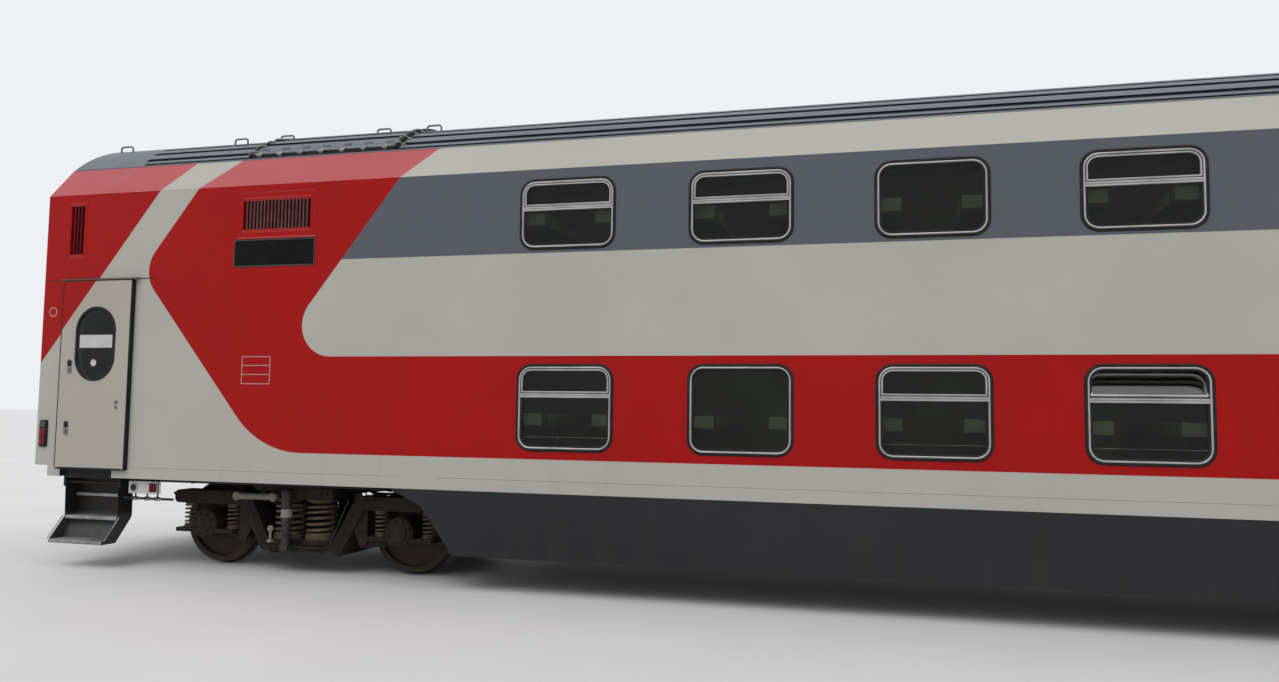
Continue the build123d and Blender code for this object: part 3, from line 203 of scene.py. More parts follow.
def roundedOutline(xLow, xHigh, zLow, zHigh, radii, arcSteps=7):
    # anticlockwise points and outward directions; radii at the top right, top left, bottom left, bottom right
    radii = np.broadcast_to(radii, 4)
    corners = ((xHigh, zHigh, -1, -1, 0), (xLow, zHigh, 1, -1, 90), (xLow, zLow, 1, 1, 180), (xHigh, zLow, -1, 1, 270))
    points, normals = [], []
    for (x, z, inX, inZ, startAngle), radius in zip(corners, radii):
        angle = np.radians(startAngle + np.linspace(0, 90, arcSteps))
        normal = np.stack([np.cos(angle), np.sin(angle)], axis=1)
        points.append(np.array([x + inX * radius, z + inZ * radius]) + radius * normal)
        normals.append(normal)
    return np.vstack(points), np.vstack(normals)


def squareOutline(xLow, xHigh, zLow, zHigh):
    # four corners whose outward directions run along the mitres
    signs = np.array([(1, 1), (-1, 1), (-1, -1), (1, -1)], float)
    return np.array([(xHigh, zHigh), (xLow, zHigh), (xLow, zLow), (xHigh, zLow)]), signs


def circleOutline(x, z, radius, steps=24):
    angle = np.linspace(0, 2 * math.pi, steps, endpoint=False)
    normal = np.stack([np.cos(angle), np.sin(angle)], axis=1)
    return np.array([x, z]) + radius * normal, normal


def drawnIn(outline, distance):
    # an outline moved inwards against its outward directions
    points, normals = outline
    return points - distance * normals, normals


def onPlane(outline, y):
    return np.stack([outline[:, 0], np.full(len(outline), y), outline[:, 1]], axis=1)


def ring(outline, profile, y):
    # a profile round an outline that lies in the left side: (outward from the outline, out of the side)
    points, normals = outline
    across = np.stack([normals[:, 0], np.zeros(len(normals)), normals[:, 1]], axis=1)
    return carryProfile(onPlane(points, y), across, (0.0, 1.0, 0.0), profile)


def plate(outline, yLow, yHigh, edge=0.0):
    # an outline given thickness across the coach, its outer rim cut back by edge
    points, normals = outline
    layers = [(points, yLow), (points, yHigh - edge), (points - normals * edge, yHigh)][:3 if edge else 2]
    verts = np.vstack([onPlane(layer, y) for layer, y in layers])
    return verts, gridFaces(len(layers), len(points), False, True) + endFaces(len(points), len(verts))


def dome(outline, y, bulge, rows=6):
    # an outline drawn in row by row to its middle while it rises as the square root of one less the square
    points, _ = outline
    middle = points.mean(axis=0)
    share = np.cos(np.linspace(0, math.pi / 2, rows, endpoint=False))
    rise = bulge * np.sqrt(1 - share ** 2)
    foot = 0.004      # the rim is sunk this far
    verts = np.vstack([onPlane(points, y - foot)]
                      + [onPlane(middle + (points - middle) * s, y + h) for s, h in zip(share, rise)])
    return verts, gridFaces(rows + 1, len(points), False, True) + endFaces(len(points), len(verts))


def boxAt(low, high, chamfer=0.003):
    # three points near each of the eight corners, one on each face, joined by faces, bevels and corners
    low, high = np.asarray(low, float), np.asarray(high, float)
    half = np.abs(high - low) / 2
    chamfer = min(chamfer, half.min() * 0.6)
    signs = np.array([[sx, sy, sz] for sx in (-1, 1) for sy in (-1, 1) for sz in (-1, 1)], float)
    verts = np.repeat(signs * (half - chamfer), 3, axis=0)
    for axis in range(3):
        verts[axis::3, axis] = signs[:, axis] * half[axis]
    corner = {tuple(sign): number for number, sign in enumerate(signs.astype(int).tolist())}
    faces = [[3 * number, 3 * number + 1, 3 * number + 2] for number in range(8)]
    for axis in range(3):
        others = [other for other in range(3) if other != axis]
        for sign in (-1, 1):
            loop = []
            for a, b in ((-1, -1), (1, -1), (1, 1), (-1, 1)):
                key = [0, 0, 0]
                key[axis], key[others[0]], key[others[1]] = sign, a, b
                loop.append(3 * corner[tuple(key)] + axis)
            faces.append(loop)
            for b in (-1, 1):
                first, second = [0, 0, 0], [0, 0, 0]
                first[others[0]], first[others[1]], first[axis] = sign, b, -1
                second[others[0]], second[others[1]], second[axis] = sign, b, 1
                c0, c1 = 3 * corner[tuple(first)], 3 * corner[tuple(second)]
                faces.append([c0 + others[0], c1 + others[0], c1 + others[1], c0 + others[1]])
    return verts + (low + high) / 2, faces


def lathe(profile, base, axis, steps=32, closed=False):
    # a profile of (distance along the axis, radius) turned round an axis through base
    axis = np.asarray(axis, float) / np.linalg.norm(axis)
    first = np.cross(axis, (1.0, 0, 0) if abs(axis[0]) < 0.9 else (0, 1.0, 0))
    first /= np.linalg.norm(first)
    second = np.cross(axis, first)
    angle = np.linspace(0, 2 * math.pi, steps, endpoint=False)
    around = np.cos(angle)[:, None] * first + np.sin(angle)[:, None] * second
    profile = np.asarray(profile, float)
    verts = np.asarray(base, float) + profile[None, :, :1] * axis + profile[None, :, 1:] * around[:, None, :]
    return verts.reshape(-1, 3), gridFaces(steps, len(profile), True, closed)


def bend(points, radius, steps=7):
    # a path with rounded corners: a parabola from a point radius before each corner to one radius after it
    points = np.asarray(points, float)
    t = np.linspace(0, 1, steps)[:, None]
    path = [points[:1]]
    for before, corner, after in zip(points, points[1:], points[2:]):
        start = corner + (before - corner) / np.linalg.norm(before - corner) * radius
        stop = corner + (after - corner) / np.linalg.norm(after - corner) * radius
        path.append((1 - t) ** 2 * start + 2 * t * (1 - t) * corner + t ** 2 * stop)
    return np.vstack(path + [points[-1:]])


def tube(points, radius, up, steps=12, closed=False):
    # a round section carried along a path, square to it and to the direction up
    points = np.asarray(points, float)
    tangent = np.roll(points, -1, axis=0) - np.roll(points, 1, axis=0) if closed else np.gradient(points, axis=0)
    across = np.cross(tangent, np.asarray(up, float))
    across /= np.linalg.norm(across, axis=1)[:, None]
    other = np.cross(across, tangent)
    other /= np.linalg.norm(other, axis=1)[:, None]
    angle = np.linspace(0, 2 * math.pi, steps, endpoint=False)
    return carryProfile(points, across, other, radius * np.stack([np.cos(angle), np.sin(angle)], axis=1), closed)


def coil(base, radius, wire, height, turns, flatTurns=0.7, stepsPerTurn=28, wireSteps=10):
    # a spring about an upright axis: a small pitch over the flat end turns and an even one between them
    turn = np.linspace(0, turns, int(turns * stepsPerTurn) + 1)
    flatPitch = 1.9 * wire
    flat = np.clip(turn, 0, flatTurns) + np.clip(turn - turns + flatTurns, 0, None)
    free = np.clip((turn - flatTurns) / (turns - 2 * flatTurns), 0, 1)
    z = wire + flatPitch * flat + free * (height - 2 * wire - 2 * flatPitch * flatTurns)
    angle = 2 * math.pi * turn
    points = np.stack([radius * np.cos(angle), radius * np.sin(angle), z], axis=1) + np.asarray(base, float)
    return tube(points, wire, (0, 0, 1), wireSteps)


def hexBolts(places, axis, radius, height):
    # hexagon heads on thin washers at the places, with the axis out of the surface
    washer = [(-0.001, 0), (-0.001, 1.35 * radius), (0.22 * height, 1.3 * radius), (0.22 * height, 0)]
    head = [(0.1 * height, 0), (0.1 * height, radius), (0.86 * height, radius), (height, 0.85 * radius), (height, 0)]
    return repeated([lathe(washer, (0, 0, 0), axis, 12), lathe(head, (0, 0, 0), axis, 6)], places)


# Materials

def newMaterial(name):
    material = bpy.data.materials.new(name)
    material.use_nodes = True
    tree = material.node_tree
    tree.nodes.clear()
    output = tree.nodes.new("ShaderNodeOutputMaterial")
    shader = tree.nodes.new("ShaderNodeBsdfPrincipled")
    tree.links.new(shader.outputs["BSDF"], output.inputs["Surface"])
    return material, tree, shader


def objectPoint(tree, scale=(1, 1, 1)):
    coordinates = tree.nodes.new("ShaderNodeTexCoord")
    mapping = tree.nodes.new("ShaderNodeMapping")
    mapping.inputs["Scale"].default_value = scale
    tree.links.new(coordinates.outputs["Object"], mapping.inputs["Vector"])
    return mapping.outputs["Vector"]


def noise(tree, scale, detail=4.0, roughness=0.55, stretch=(1, 1, 1)):
    node = tree.nodes.new("ShaderNodeTexNoise")
    node.inputs["Scale"].default_value = scale
    node.inputs["Detail"].default_value = detail
    node.inputs["Roughness"].default_value = roughness
    tree.links.new(objectPoint(tree, stretch), node.inputs["Vector"])
    return node.outputs["Fac"]


def ramp(tree, value, low, high, lowValue=0.0, highValue=1.0):
    node = tree.nodes.new("ShaderNodeMapRange")
    node.inputs["From Min"].default_value = low
    node.inputs["From Max"].default_value = high
    node.inputs["To Min"].default_value = lowValue
    node.inputs["To Max"].default_value = highValue
    tree.links.new(value, node.inputs["Value"])
    return node.outputs["Result"]


def combine(tree, first, second, operation="MULTIPLY"):
    node = tree.nodes.new("ShaderNodeMath")
    node.operation = operation
    tree.links.new(first, node.inputs[0])
    tree.links.new(second, node.inputs[1])
    return node.outputs["Value"]


def mixColour(tree, factor, first, second):
    node = tree.nodes.new("ShaderNodeMix")
    node.data_type = "RGBA"
    tree.links.new(factor, node.inputs["Factor"])
    for socket, colour in ((node.inputs["A"], first), (node.inputs["B"], second)):
        if isinstance(colour, bpy.types.NodeSocket):
            tree.links.new(colour, socket)
        else:
            socket.default_value = (*colour, 1.0)
    return node.outputs["Result"]


def bump(tree, shader, layers):
    # layers are (height value, distance in metres), the first one underneath
    previous = None
    for height, distance in layers:
        node = tree.nodes.new("ShaderNodeBump")
        node.inputs["Distance"].default_value = distance
        tree.links.new(height, node.inputs["Height"])
        if previous is not None:
            tree.links.new(previous.outputs["Normal"], node.inputs["Normal"])
        previous = node
    tree.links.new(previous.outputs["Normal"], shader.inputs["Normal"])


def coordinate(tree, axis):
    # the place along one axis of the coach
    separate = tree.nodes.new("ShaderNodeSeparateXYZ")
    tree.links.new(objectPoint(tree), separate.inputs["Vector"])
    return separate.outputs[axis]


def lowDown(tree, low, high):
    # 1 up to the height low, falling to 0 at the height high
    return ramp(tree, coordinate(tree, "Z"), low, high, 1.0, 0.0)


def farFrom(tree, axis, reach):
    # 0 within a distance of the middle along one axis, 1 past it: the place's square against the distance's
    place, soft = coordinate(tree, axis), 0.02
    return ramp(tree, combine(tree, place, place), reach ** 2 - soft, reach ** 2 + soft)


def facing(tree, axis, low, high):
    # 0 where the surface's direction along the axis is low, rising to 1 where it is high, either way round
    geometry = tree.nodes.new("ShaderNodeNewGeometry")
    separate = tree.nodes.new("ShaderNodeSeparateXYZ")
    tree.links.new(geometry.outputs["Normal"], separate.inputs["Vector"])
    node = tree.nodes.new("ShaderNodeMath")
    node.operation = "ABSOLUTE"
    tree.links.new(separate.outputs[axis], node.inputs[0])
    return ramp(tree, node.outputs["Value"], low, high)


def setRoughness(tree, shader, pattern, low, high):
    # a pattern's darker places are smoother, its lighter ones rougher
    tree.links.new(ramp(tree, pattern, 0.3, 0.7, low, high), shader.inputs["Roughness"])


def coachPaint(name, settings):
    # enamel on sheet: slight drift, dust lower down, a painted sky sheen on upward slopes, rain streaks, wavy sheet,
    # orange peel
    material, tree, shader = newMaterial(name)
    colour = settings["colour"]
    darker = tuple(c * settings["drift"] for c in colour)
    base = mixColour(tree, ramp(tree, noise(tree, 0.7, 5.0), 0.35, 0.65), colour, darker)
    streaks = ramp(tree, noise(tree, 6.0, 6.0, 0.6, (1.0, 1.0, 0.07)), 0.52, 0.78)
    dusty = combine(tree, streaks, lowDown(tree, *settings["dustHeights"]))
    dusted = mixColour(tree, ramp(tree, dusty, 0.0, 1.0, 0.0, settings["dust"]), base, settings["dustColour"])
    # painted sky sheen: faces that look upwards are mixed towards a paler colour, pink on the red shoulder
    toned = combine(tree, facing(tree, "Z", 0.30, 0.62), ramp(tree, noise(tree, 2.0, 5.0), 0.2, 0.8, 0.75, 1.0))
    sheened = mixColour(tree, ramp(tree, toned, 0.0, 1.0, 0.0, settings.get("slope", 0.0)), dusted,
                       settings.get("sheenColour", (0.60, 0.56, 0.56)))
    specks = ramp(tree, noise(tree, 60.0, 3.0, 0.7), 0.62, 0.80, 0.0, 0.10)
    finished = mixColour(tree, specks, sheened, settings["dustColour"])
    if "endColour" in settings:
        finished = mixColour(tree, facing(tree, "X", 0.5, 0.8), finished, settings["endColour"])
    tree.links.new(finished, shader.inputs["Base Color"])
    setRoughness(tree, shader, noise(tree, 3.0, 5.0), *settings["gloss"])
    shader.inputs["Specular IOR Level"].default_value = 0.14
    shader.inputs["Coat Weight"].default_value = settings.get("coat", 0.04)
    shader.inputs["Coat Roughness"].default_value = 0.10
    bump(tree, shader, ((noise(tree, 0.9, 1.0), 0.006), (noise(tree, 420.0, 2.0), 0.00012)))
    return material


def roughMetal(name, settings):
    # cast or rolled metal with rust, caked dust and a grainy skin
    material, tree, shader = newMaterial(name)
    rusty = mixColour(tree, ramp(tree, noise(tree, settings["rustScale"], 8.0, 0.65), *settings["rustRange"]),
                      settings["colour"], settings["rust"])
    dusted = mixColour(tree, ramp(tree, noise(tree, 2.6, 6.0, 0.6), 0.45, 0.75, 0.0, settings["dust"]),
                       rusty, settings["dustColour"])
    # upward faces take the top colour: settled dust on most metals, a painted highlight on the step frame
    onTop = ramp(tree, facing(tree, "Z", 0.6, 0.95), 0.0, 1.0, 0.0, settings.get("top", settings["dust"]))
    toned = mixColour(tree, onTop, dusted, settings.get("topColour", settings["dustColour"]))
    if "within" in settings:      # another colour within a distance of the coach's middle
        reach, colour = settings["within"]
        toned = mixColour(tree, farFrom(tree, "X", reach), colour, toned)
    # painted shade: on the step frame, the parts above the treads are darkened
    if "above" in settings:       # another colour above a height, blended in from low to high
        low, high, colour = settings["above"]
        toned = mixColour(tree, lowDown(tree, low, high), colour, toned)
    tree.links.new(toned, shader.inputs["Base Color"])
    shader.inputs["Metallic"].default_value = settings["metallic"]
    shader.inputs["Specular IOR Level"].default_value = 0.3
    setRoughness(tree, shader, noise(tree, 30.0, 4.0), *settings["gloss"])
    bump(tree, shader, ((noise(tree, 14.0, 6.0), settings.get("lumps", 0.0025)),
                        (noise(tree, 160.0, 4.0, 0.7), 0.0008)))
    return material


def brushedMetal(name, settings):
    # drawn or brushed metal: fine lines along one direction, smudges and dull spots
    material, tree, shader = newMaterial(name)
    smudged = mixColour(tree, ramp(tree, noise(tree, 4.0, 6.0), 0.40, 0.70), settings["colour"],
                        settings["smudge"])
    spotted = mixColour(tree, ramp(tree, noise(tree, 45.0, 4.0, 0.7), 0.60, 0.78, 0.0, 0.4), smudged,
                        settings["smudge"])
    tree.links.new(spotted, shader.inputs["Base Color"])
    shader.inputs["Metallic"].default_value = settings.get("metallic", 0.85)
    lines = noise(tree, 90.0, 3.0, 0.6, settings["stretch"])
    setRoughness(tree, shader, lines, *settings["gloss"])
    bump(tree, shader, ((lines, 0.0002),))
    return material


def rubberFinish(name, settings):
    # matt rubber with a grey bloom and a fine grain
    material, tree, shader = newMaterial(name)
    bloom = mixColour(tree, ramp(tree, noise(tree, 5.0, 7.0, 0.65), 0.40, 0.75), settings["colour"],
                      settings["bloom"])
    tree.links.new(bloom, shader.inputs["Base Color"])
    shader.inputs["Specular IOR Level"].default_value = 0.25
    setRoughness(tree, shader, noise(tree, 12.0, 4.0), 0.55, 0.8)
    bump(tree, shader, ((noise(tree, 220.0, 3.0), 0.0003),))
    return material


def tintedGlass(name, settings):
    # clear pane with a grey-green tint, faint dust and a slight wave
    material, tree, shader = newMaterial(name)
    tint = mixColour(tree, ramp(tree, noise(tree, 1.4, 3.0), 0.35, 0.70), settings["colour"],
                     settings["haze"])
    tree.links.new(tint, shader.inputs["Base Color"])
    shader.inputs["Transmission Weight"].default_value = 1.0
    shader.inputs["IOR"].default_value = settings["ior"]
    tree.links.new(ramp(tree, noise(tree, 8.0, 5.0), 0.45, 0.8, 0.01, 0.06), shader.inputs["Roughness"])
    bump(tree, shader, ((noise(tree, 1.1, 1.0), 0.0015),))
    return material


def plasticFinish(name, settings):
    # moulded plastic or laminate with faint mottling and a fine grain
    material, tree, shader = newMaterial(name)
    mottled = mixColour(tree, ramp(tree, noise(tree, settings.get("scale", 9.0), 4.0), 0.35, 0.7),
                        settings["colour"], settings["second"])
    if "flat" in settings:        # another colour on level faces
        flat = facing(tree, "Z", 0.7, 0.95)
        if "ends" in settings:    # and on those that face along the coach
            flat = combine(tree, flat, facing(tree, "X", 0.7, 0.95), "MAXIMUM")
        mottled = mixColour(tree, flat, mottled, settings["flat"])
    # painted shade: faces close behind the windows are darkened
    if "beyond" in settings:      # another colour close behind the windows
        reach, colour = settings["beyond"]
        mottled = mixColour(tree, farFrom(tree, "Y", reach), mottled, colour)
    tree.links.new(mottled, shader.inputs["Base Color"])
    setRoughness(tree, shader, noise(tree, 25.0, 3.0), *settings["gloss"])
    shader.inputs["Specular IOR Level"].default_value = settings.get("specular", 0.5)
    bump(tree, shader, ((noise(tree, 300.0, 2.0), 0.0001),))
    return material


paints = {
    # drift: share of the colour in darker patches; dustHeights: full dust up to, none from; gloss: roughness from, to;
    # slope and its colour: a painted sky sheen on upward faces
    "red": {"colour": (0.350, 0.002, 0.002), "drift": 0.90, "dust": 0.12, "dustColour": (0.25, 0.018, 0.016),
            "dustHeights": (1.2, 3.2), "gloss": (0.34, 0.46), "slope": 0.25, "sheenColour": (0.85, 0.38, 0.41)},
    "white": {"colour": (0.425, 0.418, 0.372), "drift": 0.94, "dust": 0.30, "dustColour": (0.32, 0.29, 0.24),
              "dustHeights": (0.9, 2.6), "gloss": (0.36, 0.48), "slope": 0.05},
    "door": {"colour": (0.405, 0.378, 0.330), "drift": 0.94, "dust": 0.25, "dustColour": (0.32, 0.28, 0.23),
             "dustHeights": (1.0, 3.0), "gloss": (0.36, 0.48)},
    "grey": {"colour": (0.096, 0.106, 0.126), "drift": 0.94, "dust": 0.15, "dustColour": (0.15, 0.15, 0.155),
             "dustHeights": (3.0, 4.6), "gloss": (0.36, 0.48)},
    "skirt": {"colour": (0.025, 0.026, 0.028), "drift": 0.88, "dust": 0.30, "dustColour": (0.052, 0.047, 0.042),
              "dustHeights": (0.2, 1.2), "gloss": (0.45, 0.60), "coat": 0.02},
    "roof": {"colour": (0.170, 0.190, 0.215), "drift": 0.86, "dust": 0.40, "dustColour": (0.13, 0.13, 0.13),
             "dustHeights": (4.5, 6.5), "gloss": (0.45, 0.60), "coat": 0.05},
    "end": {"colour": (0.170, 0.190, 0.215), "drift": 0.86, "dust": 0.40, "dustColour": (0.13, 0.13, 0.13),
            "dustHeights": (4.5, 6.5), "gloss": (0.42, 0.56), "coat": 0.08, "endColour": (0.018, 0.020, 0.024)},
}
finish = {name: coachPaint(name + "Paint", settings) for name, settings in paints.items()}
finishes = {      # how each is made, the material's name, its values
    "chassis": (roughMetal, "chassisBlack", {"colour": (0.014, 0.014, 0.014), "rust": (0.035, 0.020, 0.013),
        "rustScale": 5.0, "rustRange": (0.52, 0.74), "dust": 0.30, "dustColour": (0.045, 0.038, 0.032),
        "gloss": (0.62, 0.85), "metallic": 0.0}),
    # painted shade: the bogie iron's colours are darkened for the shade it lies in under the coach
    "bogieIron": (roughMetal, "bogieIron", {"colour": (0.014, 0.010, 0.008), "rust": (0.034, 0.017, 0.011),
        "rustScale": 6.0, "rustRange": (0.45, 0.72), "dust": 0.35, "dustColour": (0.036, 0.027, 0.020),
        "gloss": (0.65, 0.90), "metallic": 0.1}),
    # painted shade: the springs' colours are darkened for the shade under the coach
    "spring": (roughMetal, "springSteel", {"colour": (0.125, 0.092, 0.060), "rust": (0.060, 0.031, 0.018),
        "rustScale": 9.0, "rustRange": (0.50, 0.70), "dust": 0.35, "dustColour": (0.075, 0.055, 0.038),
        "gloss": (0.45, 0.70), "metallic": 0.1, "lumps": 0.001}),
    "springPad": (roughMetal, "springPad", {"colour": (0.095, 0.074, 0.042), "rust": (0.045, 0.029, 0.017),
        "rustScale": 7.0, "rustRange": (0.42, 0.70), "dust": 0.35, "dustColour": (0.045, 0.035, 0.024),
        "gloss": (0.60, 0.80), "metallic": 0.0}),
    "damper": (roughMetal, "damperGrey", {"colour": (0.20, 0.188, 0.155), "rust": (0.09, 0.07, 0.05),
        "rustScale": 12.0, "rustRange": (0.50, 0.75), "dust": 0.35, "dustColour": (0.09, 0.075, 0.058),
        "gloss": (0.40, 0.60), "metallic": 0.1, "lumps": 0.0006, "within": (9.66, (0.036, 0.032, 0.028))}),
    "clamp": (roughMetal, "clampGrey", {"colour": (0.26, 0.245, 0.205), "rust": (0.11, 0.085, 0.06),
        "rustScale": 12.0, "rustRange": (0.52, 0.75), "dust": 0.30, "dustColour": (0.11, 0.09, 0.07),
        "gloss": (0.40, 0.60), "metallic": 0.1, "lumps": 0.0006}),
    # step frame: its light top colour is a painted highlight on the upward faces, its dark colour above the treads is
    # painted shade
    "stepFrame": (roughMetal, "stepFrame", {"colour": (0.062, 0.066, 0.070), "rust": (0.045, 0.036, 0.030),
        "rustScale": 8.0, "rustRange": (0.45, 0.75), "dust": 0.25, "dustColour": (0.085, 0.078, 0.068), "top": 1.0,
        "topColour": (0.20, 0.205, 0.195), "gloss": (0.45, 0.70), "metallic": 0.2, "lumps": 0.0006,
        "above": (0.585, 0.62, (0.022, 0.018, 0.015))}),
    "couplerIron": (roughMetal, "couplerIron", {"colour": (0.030, 0.028, 0.027), "rust": (0.085, 0.040, 0.020),
        "rustScale": 7.0, "rustRange": (0.45, 0.72), "dust": 0.3, "dustColour": (0.07, 0.055, 0.04),
        "gloss": (0.50, 0.75), "metallic": 0.3}),
    "wheel": (roughMetal, "wheelSteel", {"colour": (0.030, 0.022, 0.017), "rust": (0.055, 0.028, 0.016),
        "rustScale": 4.0, "rustRange": (0.40, 0.72), "dust": 0.4, "dustColour": (0.042, 0.032, 0.024),
        "gloss": (0.45, 0.75), "metallic": 0.3}),
    "tread": (brushedMetal, "wheelTread", {"colour": (0.46, 0.44, 0.42), "smudge": (0.26, 0.24, 0.22),
        "stretch": (1, 0.02, 1), "gloss": (0.20, 0.36)}),
    "aluminium": (brushedMetal, "windowAluminium", {"colour": (0.44, 0.43, 0.42), "smudge": (0.33, 0.32, 0.31),
        "stretch": (0.03, 1, 1), "gloss": (0.32, 0.46), "metallic": 0.75}),
    "stepMetal": (brushedMetal, "stepMetal", {"colour": (0.34, 0.35, 0.34), "smudge": (0.17, 0.165, 0.155),
        "stretch": (0.03, 1, 1), "gloss": (0.40, 0.62), "metallic": 0.55}),
    "lockMetal": (brushedMetal, "lockMetal", {"colour": (0.30, 0.29, 0.27), "smudge": (0.16, 0.15, 0.14),
        "stretch": (1, 1, 0.05), "gloss": (0.30, 0.50)}),
    "rubber": (rubberFinish, "blackRubber", {"colour": (0.008, 0.008, 0.009), "bloom": (0.022, 0.021, 0.021)}),
    "bellows": (rubberFinish, "bellowsRubber", {"colour": (0.012, 0.012, 0.014), "bloom": (0.036, 0.034, 0.034)}),
    "seam": (rubberFinish, "seamShadow", {"colour": (0.020, 0.012, 0.011), "bloom": (0.036, 0.024, 0.022)}),
    "fineSeam": (rubberFinish, "fineSeam", {"colour": (0.25, 0.235, 0.205), "bloom": (0.20, 0.185, 0.16)}),
    # near-black strips laid in the roof's grooves as painted shade
    "roofGrooveShade": (rubberFinish, "roofGrooveShade", {"colour": (0.010, 0.013, 0.018), "bloom": (0.026, 0.030, 0.036)}),
    "glass": (tintedGlass, "darkGlass", {"colour": (0.50, 0.56, 0.48), "haze": (0.42, 0.48, 0.41), "ior": 1.26}),
    "ventGlass": (tintedGlass, "ventGlass", {"colour": (0.50, 0.56, 0.48), "haze": (0.42, 0.48, 0.41), "ior": 1.95}),
    "wallLining": (plasticFinish, "wallLining", {"colour": (0.30, 0.27, 0.21), "second": (0.26, 0.23, 0.17),
        "gloss": (0.45, 0.60), "flat": (0.02, 0.02, 0.02), "ends": True}),
    # the cabin's colour close behind the windows is painted shade
    "cabin": (plasticFinish, "cabinLaminate", {"colour": (0.46, 0.42, 0.29), "second": (0.38, 0.345, 0.235),
        "gloss": (0.40, 0.55), "flat": (0.05, 0.085, 0.16), "scale": 3.0, "beyond": (1.30, (0.150, 0.145, 0.100))}),
    "display": (plasticFinish, "displayFace", {"colour": (0.006, 0.006, 0.006), "second": (0.009, 0.009, 0.009),
        "gloss": (0.22, 0.32), "specular": 0.06}),
    "bezel": (plasticFinish, "displayBezel", {"colour": (0.030, 0.030, 0.031), "second": (0.022, 0.022, 0.023),
        "gloss": (0.40, 0.55)}),
    "redLens": (plasticFinish, "redLens", {"colour": (0.20, 0.005, 0.005), "second": (0.12, 0.003, 0.003),
        "gloss": (0.08, 0.16), "scale": 60.0, "specular": 0.2}),
    "clearLens": (plasticFinish, "clearLens", {"colour": (0.055, 0.060, 0.055), "second": (0.030, 0.033, 0.030),
        "gloss": (0.06, 0.14), "scale": 60.0}),
    "label": (plasticFinish, "blankLabel", {"colour": (0.50, 0.50, 0.49), "second": (0.44, 0.44, 0.43),
        "gloss": (0.35, 0.50)}),
    "paleMark": (plasticFinish, "paleMark", {"colour": (0.42, 0.33, 0.31), "second": (0.36, 0.27, 0.25),
        "gloss": (0.40, 0.55)}),
    "redSlat": (plasticFinish, "redSlat", {"colour": (0.135, 0.006, 0.012), "second": (0.100, 0.005, 0.010),
        "gloss": (0.40, 0.55), "specular": 0.10}),
    "brownSlat": (plasticFinish, "brownSlat", {"colour": (0.150, 0.055, 0.055), "second": (0.110, 0.030, 0.032),
        "gloss": (0.40, 0.55), "specular": 0.12}),
    "trim": (plasticFinish, "trimGrey", {"colour": (0.120, 0.106, 0.088), "second": (0.095, 0.084, 0.070),
        "gloss": (0.40, 0.55), "specular": 0.2}),
    "grilleDark": (rubberFinish, "grilleDark", {"colour": (0.016, 0.002, 0.003), "bloom": (0.034, 0.004, 0.006)}),
    "hoseBlack": (rubberFinish, "hoseBlack", {"colour": (0.010, 0.010, 0.010), "bloom": (0.028, 0.026, 0.024)}),
    "floor": (plasticFinish, "studioFloor", {"colour": (0.70, 0.70, 0.70), "second": (0.67, 0.67, 0.67),
        "gloss": (0.65, 0.80), "scale": 0.6}),
}
finish.update({name: make(title, settings) for name, (make, title, settings) in finishes.items()})
print("materials made:", len(finish))

nodeFinish = {      # by the longest of these that a node's name starts with
    "side_wall": "wallLining", "roof": "roof", "end_wall": "end", "underframe": "chassis",
    "lower_floor": "chassis", "upper_floor": "cabin", "interior": "cabin", "window_glass": "glass",
    "window_frames": "aluminium", "entry_door": "door", "door_glass": "glass", "end_door": "white",
    "gangway": "bellows", "coupler": "couplerIron", "tail_lamps": "rubber", "vent_grilles": "red",
    "destination_displays": "display", "underfloor_gear": "chassis", "entry_steps": "stepFrame",
    "step_brackets": "chassis", "bogie_frame": "bogieIron", "bogie_bolster": "bogieIron",
    "secondary_springs": "spring", "primary_springs": "spring", "axle_boxes": "bogieIron",
    "dampers": "damper", "brake_calipers": "bogieIron", "wheelset": "wheel",
}
for nodeName, node in nodes.items():
    stem = max((key for key in nodeFinish if nodeName.startswith(key)), key=len)
    node.data.materials.clear()
    node.data.materials.append(finish[nodeFinish[stem]])


# Paint: the side is laid flat as (x, z) and cut along the paint's edges

livery = {
    "bandTop": railTop + 3.442,        # grey from here up to the fold
    "redTop": railTop + 2.384,
    "redBottom": railTop + 1.337,
    # left edge of the slanting white stripe, from the gutter down
    "stripeLeft": ((-10.983, railTop + 4.710), (-11.210, railTop + 4.313), (-12.003, railTop + 3.311),
                   (-12.83, railTop + 2.266)),
    # right edge of the stripe: corners, each with the radius that rounds it
    "stripeRight": ((-10.348, railTop + 4.710, 0), (-10.683, railTop + 4.313, 0), (-11.420, railTop + 3.376, 0.36),
                    (-9.747, railTop + 1.337, 1.07), (-8.4, railTop + 1.337, 0)),
    # right edge of the big red field, which ends in the top of the red band
    "redRight": ((-7.833, railTop + 4.710, 0), (-8.139, railTop + 4.313, 0), (-9.641, railTop + 2.384, 0.35),
                 (-7.9, railTop + 2.384, 0)),
    "doorShift": 0.036,      # the stripe lies this far to the right on the door leaf
}


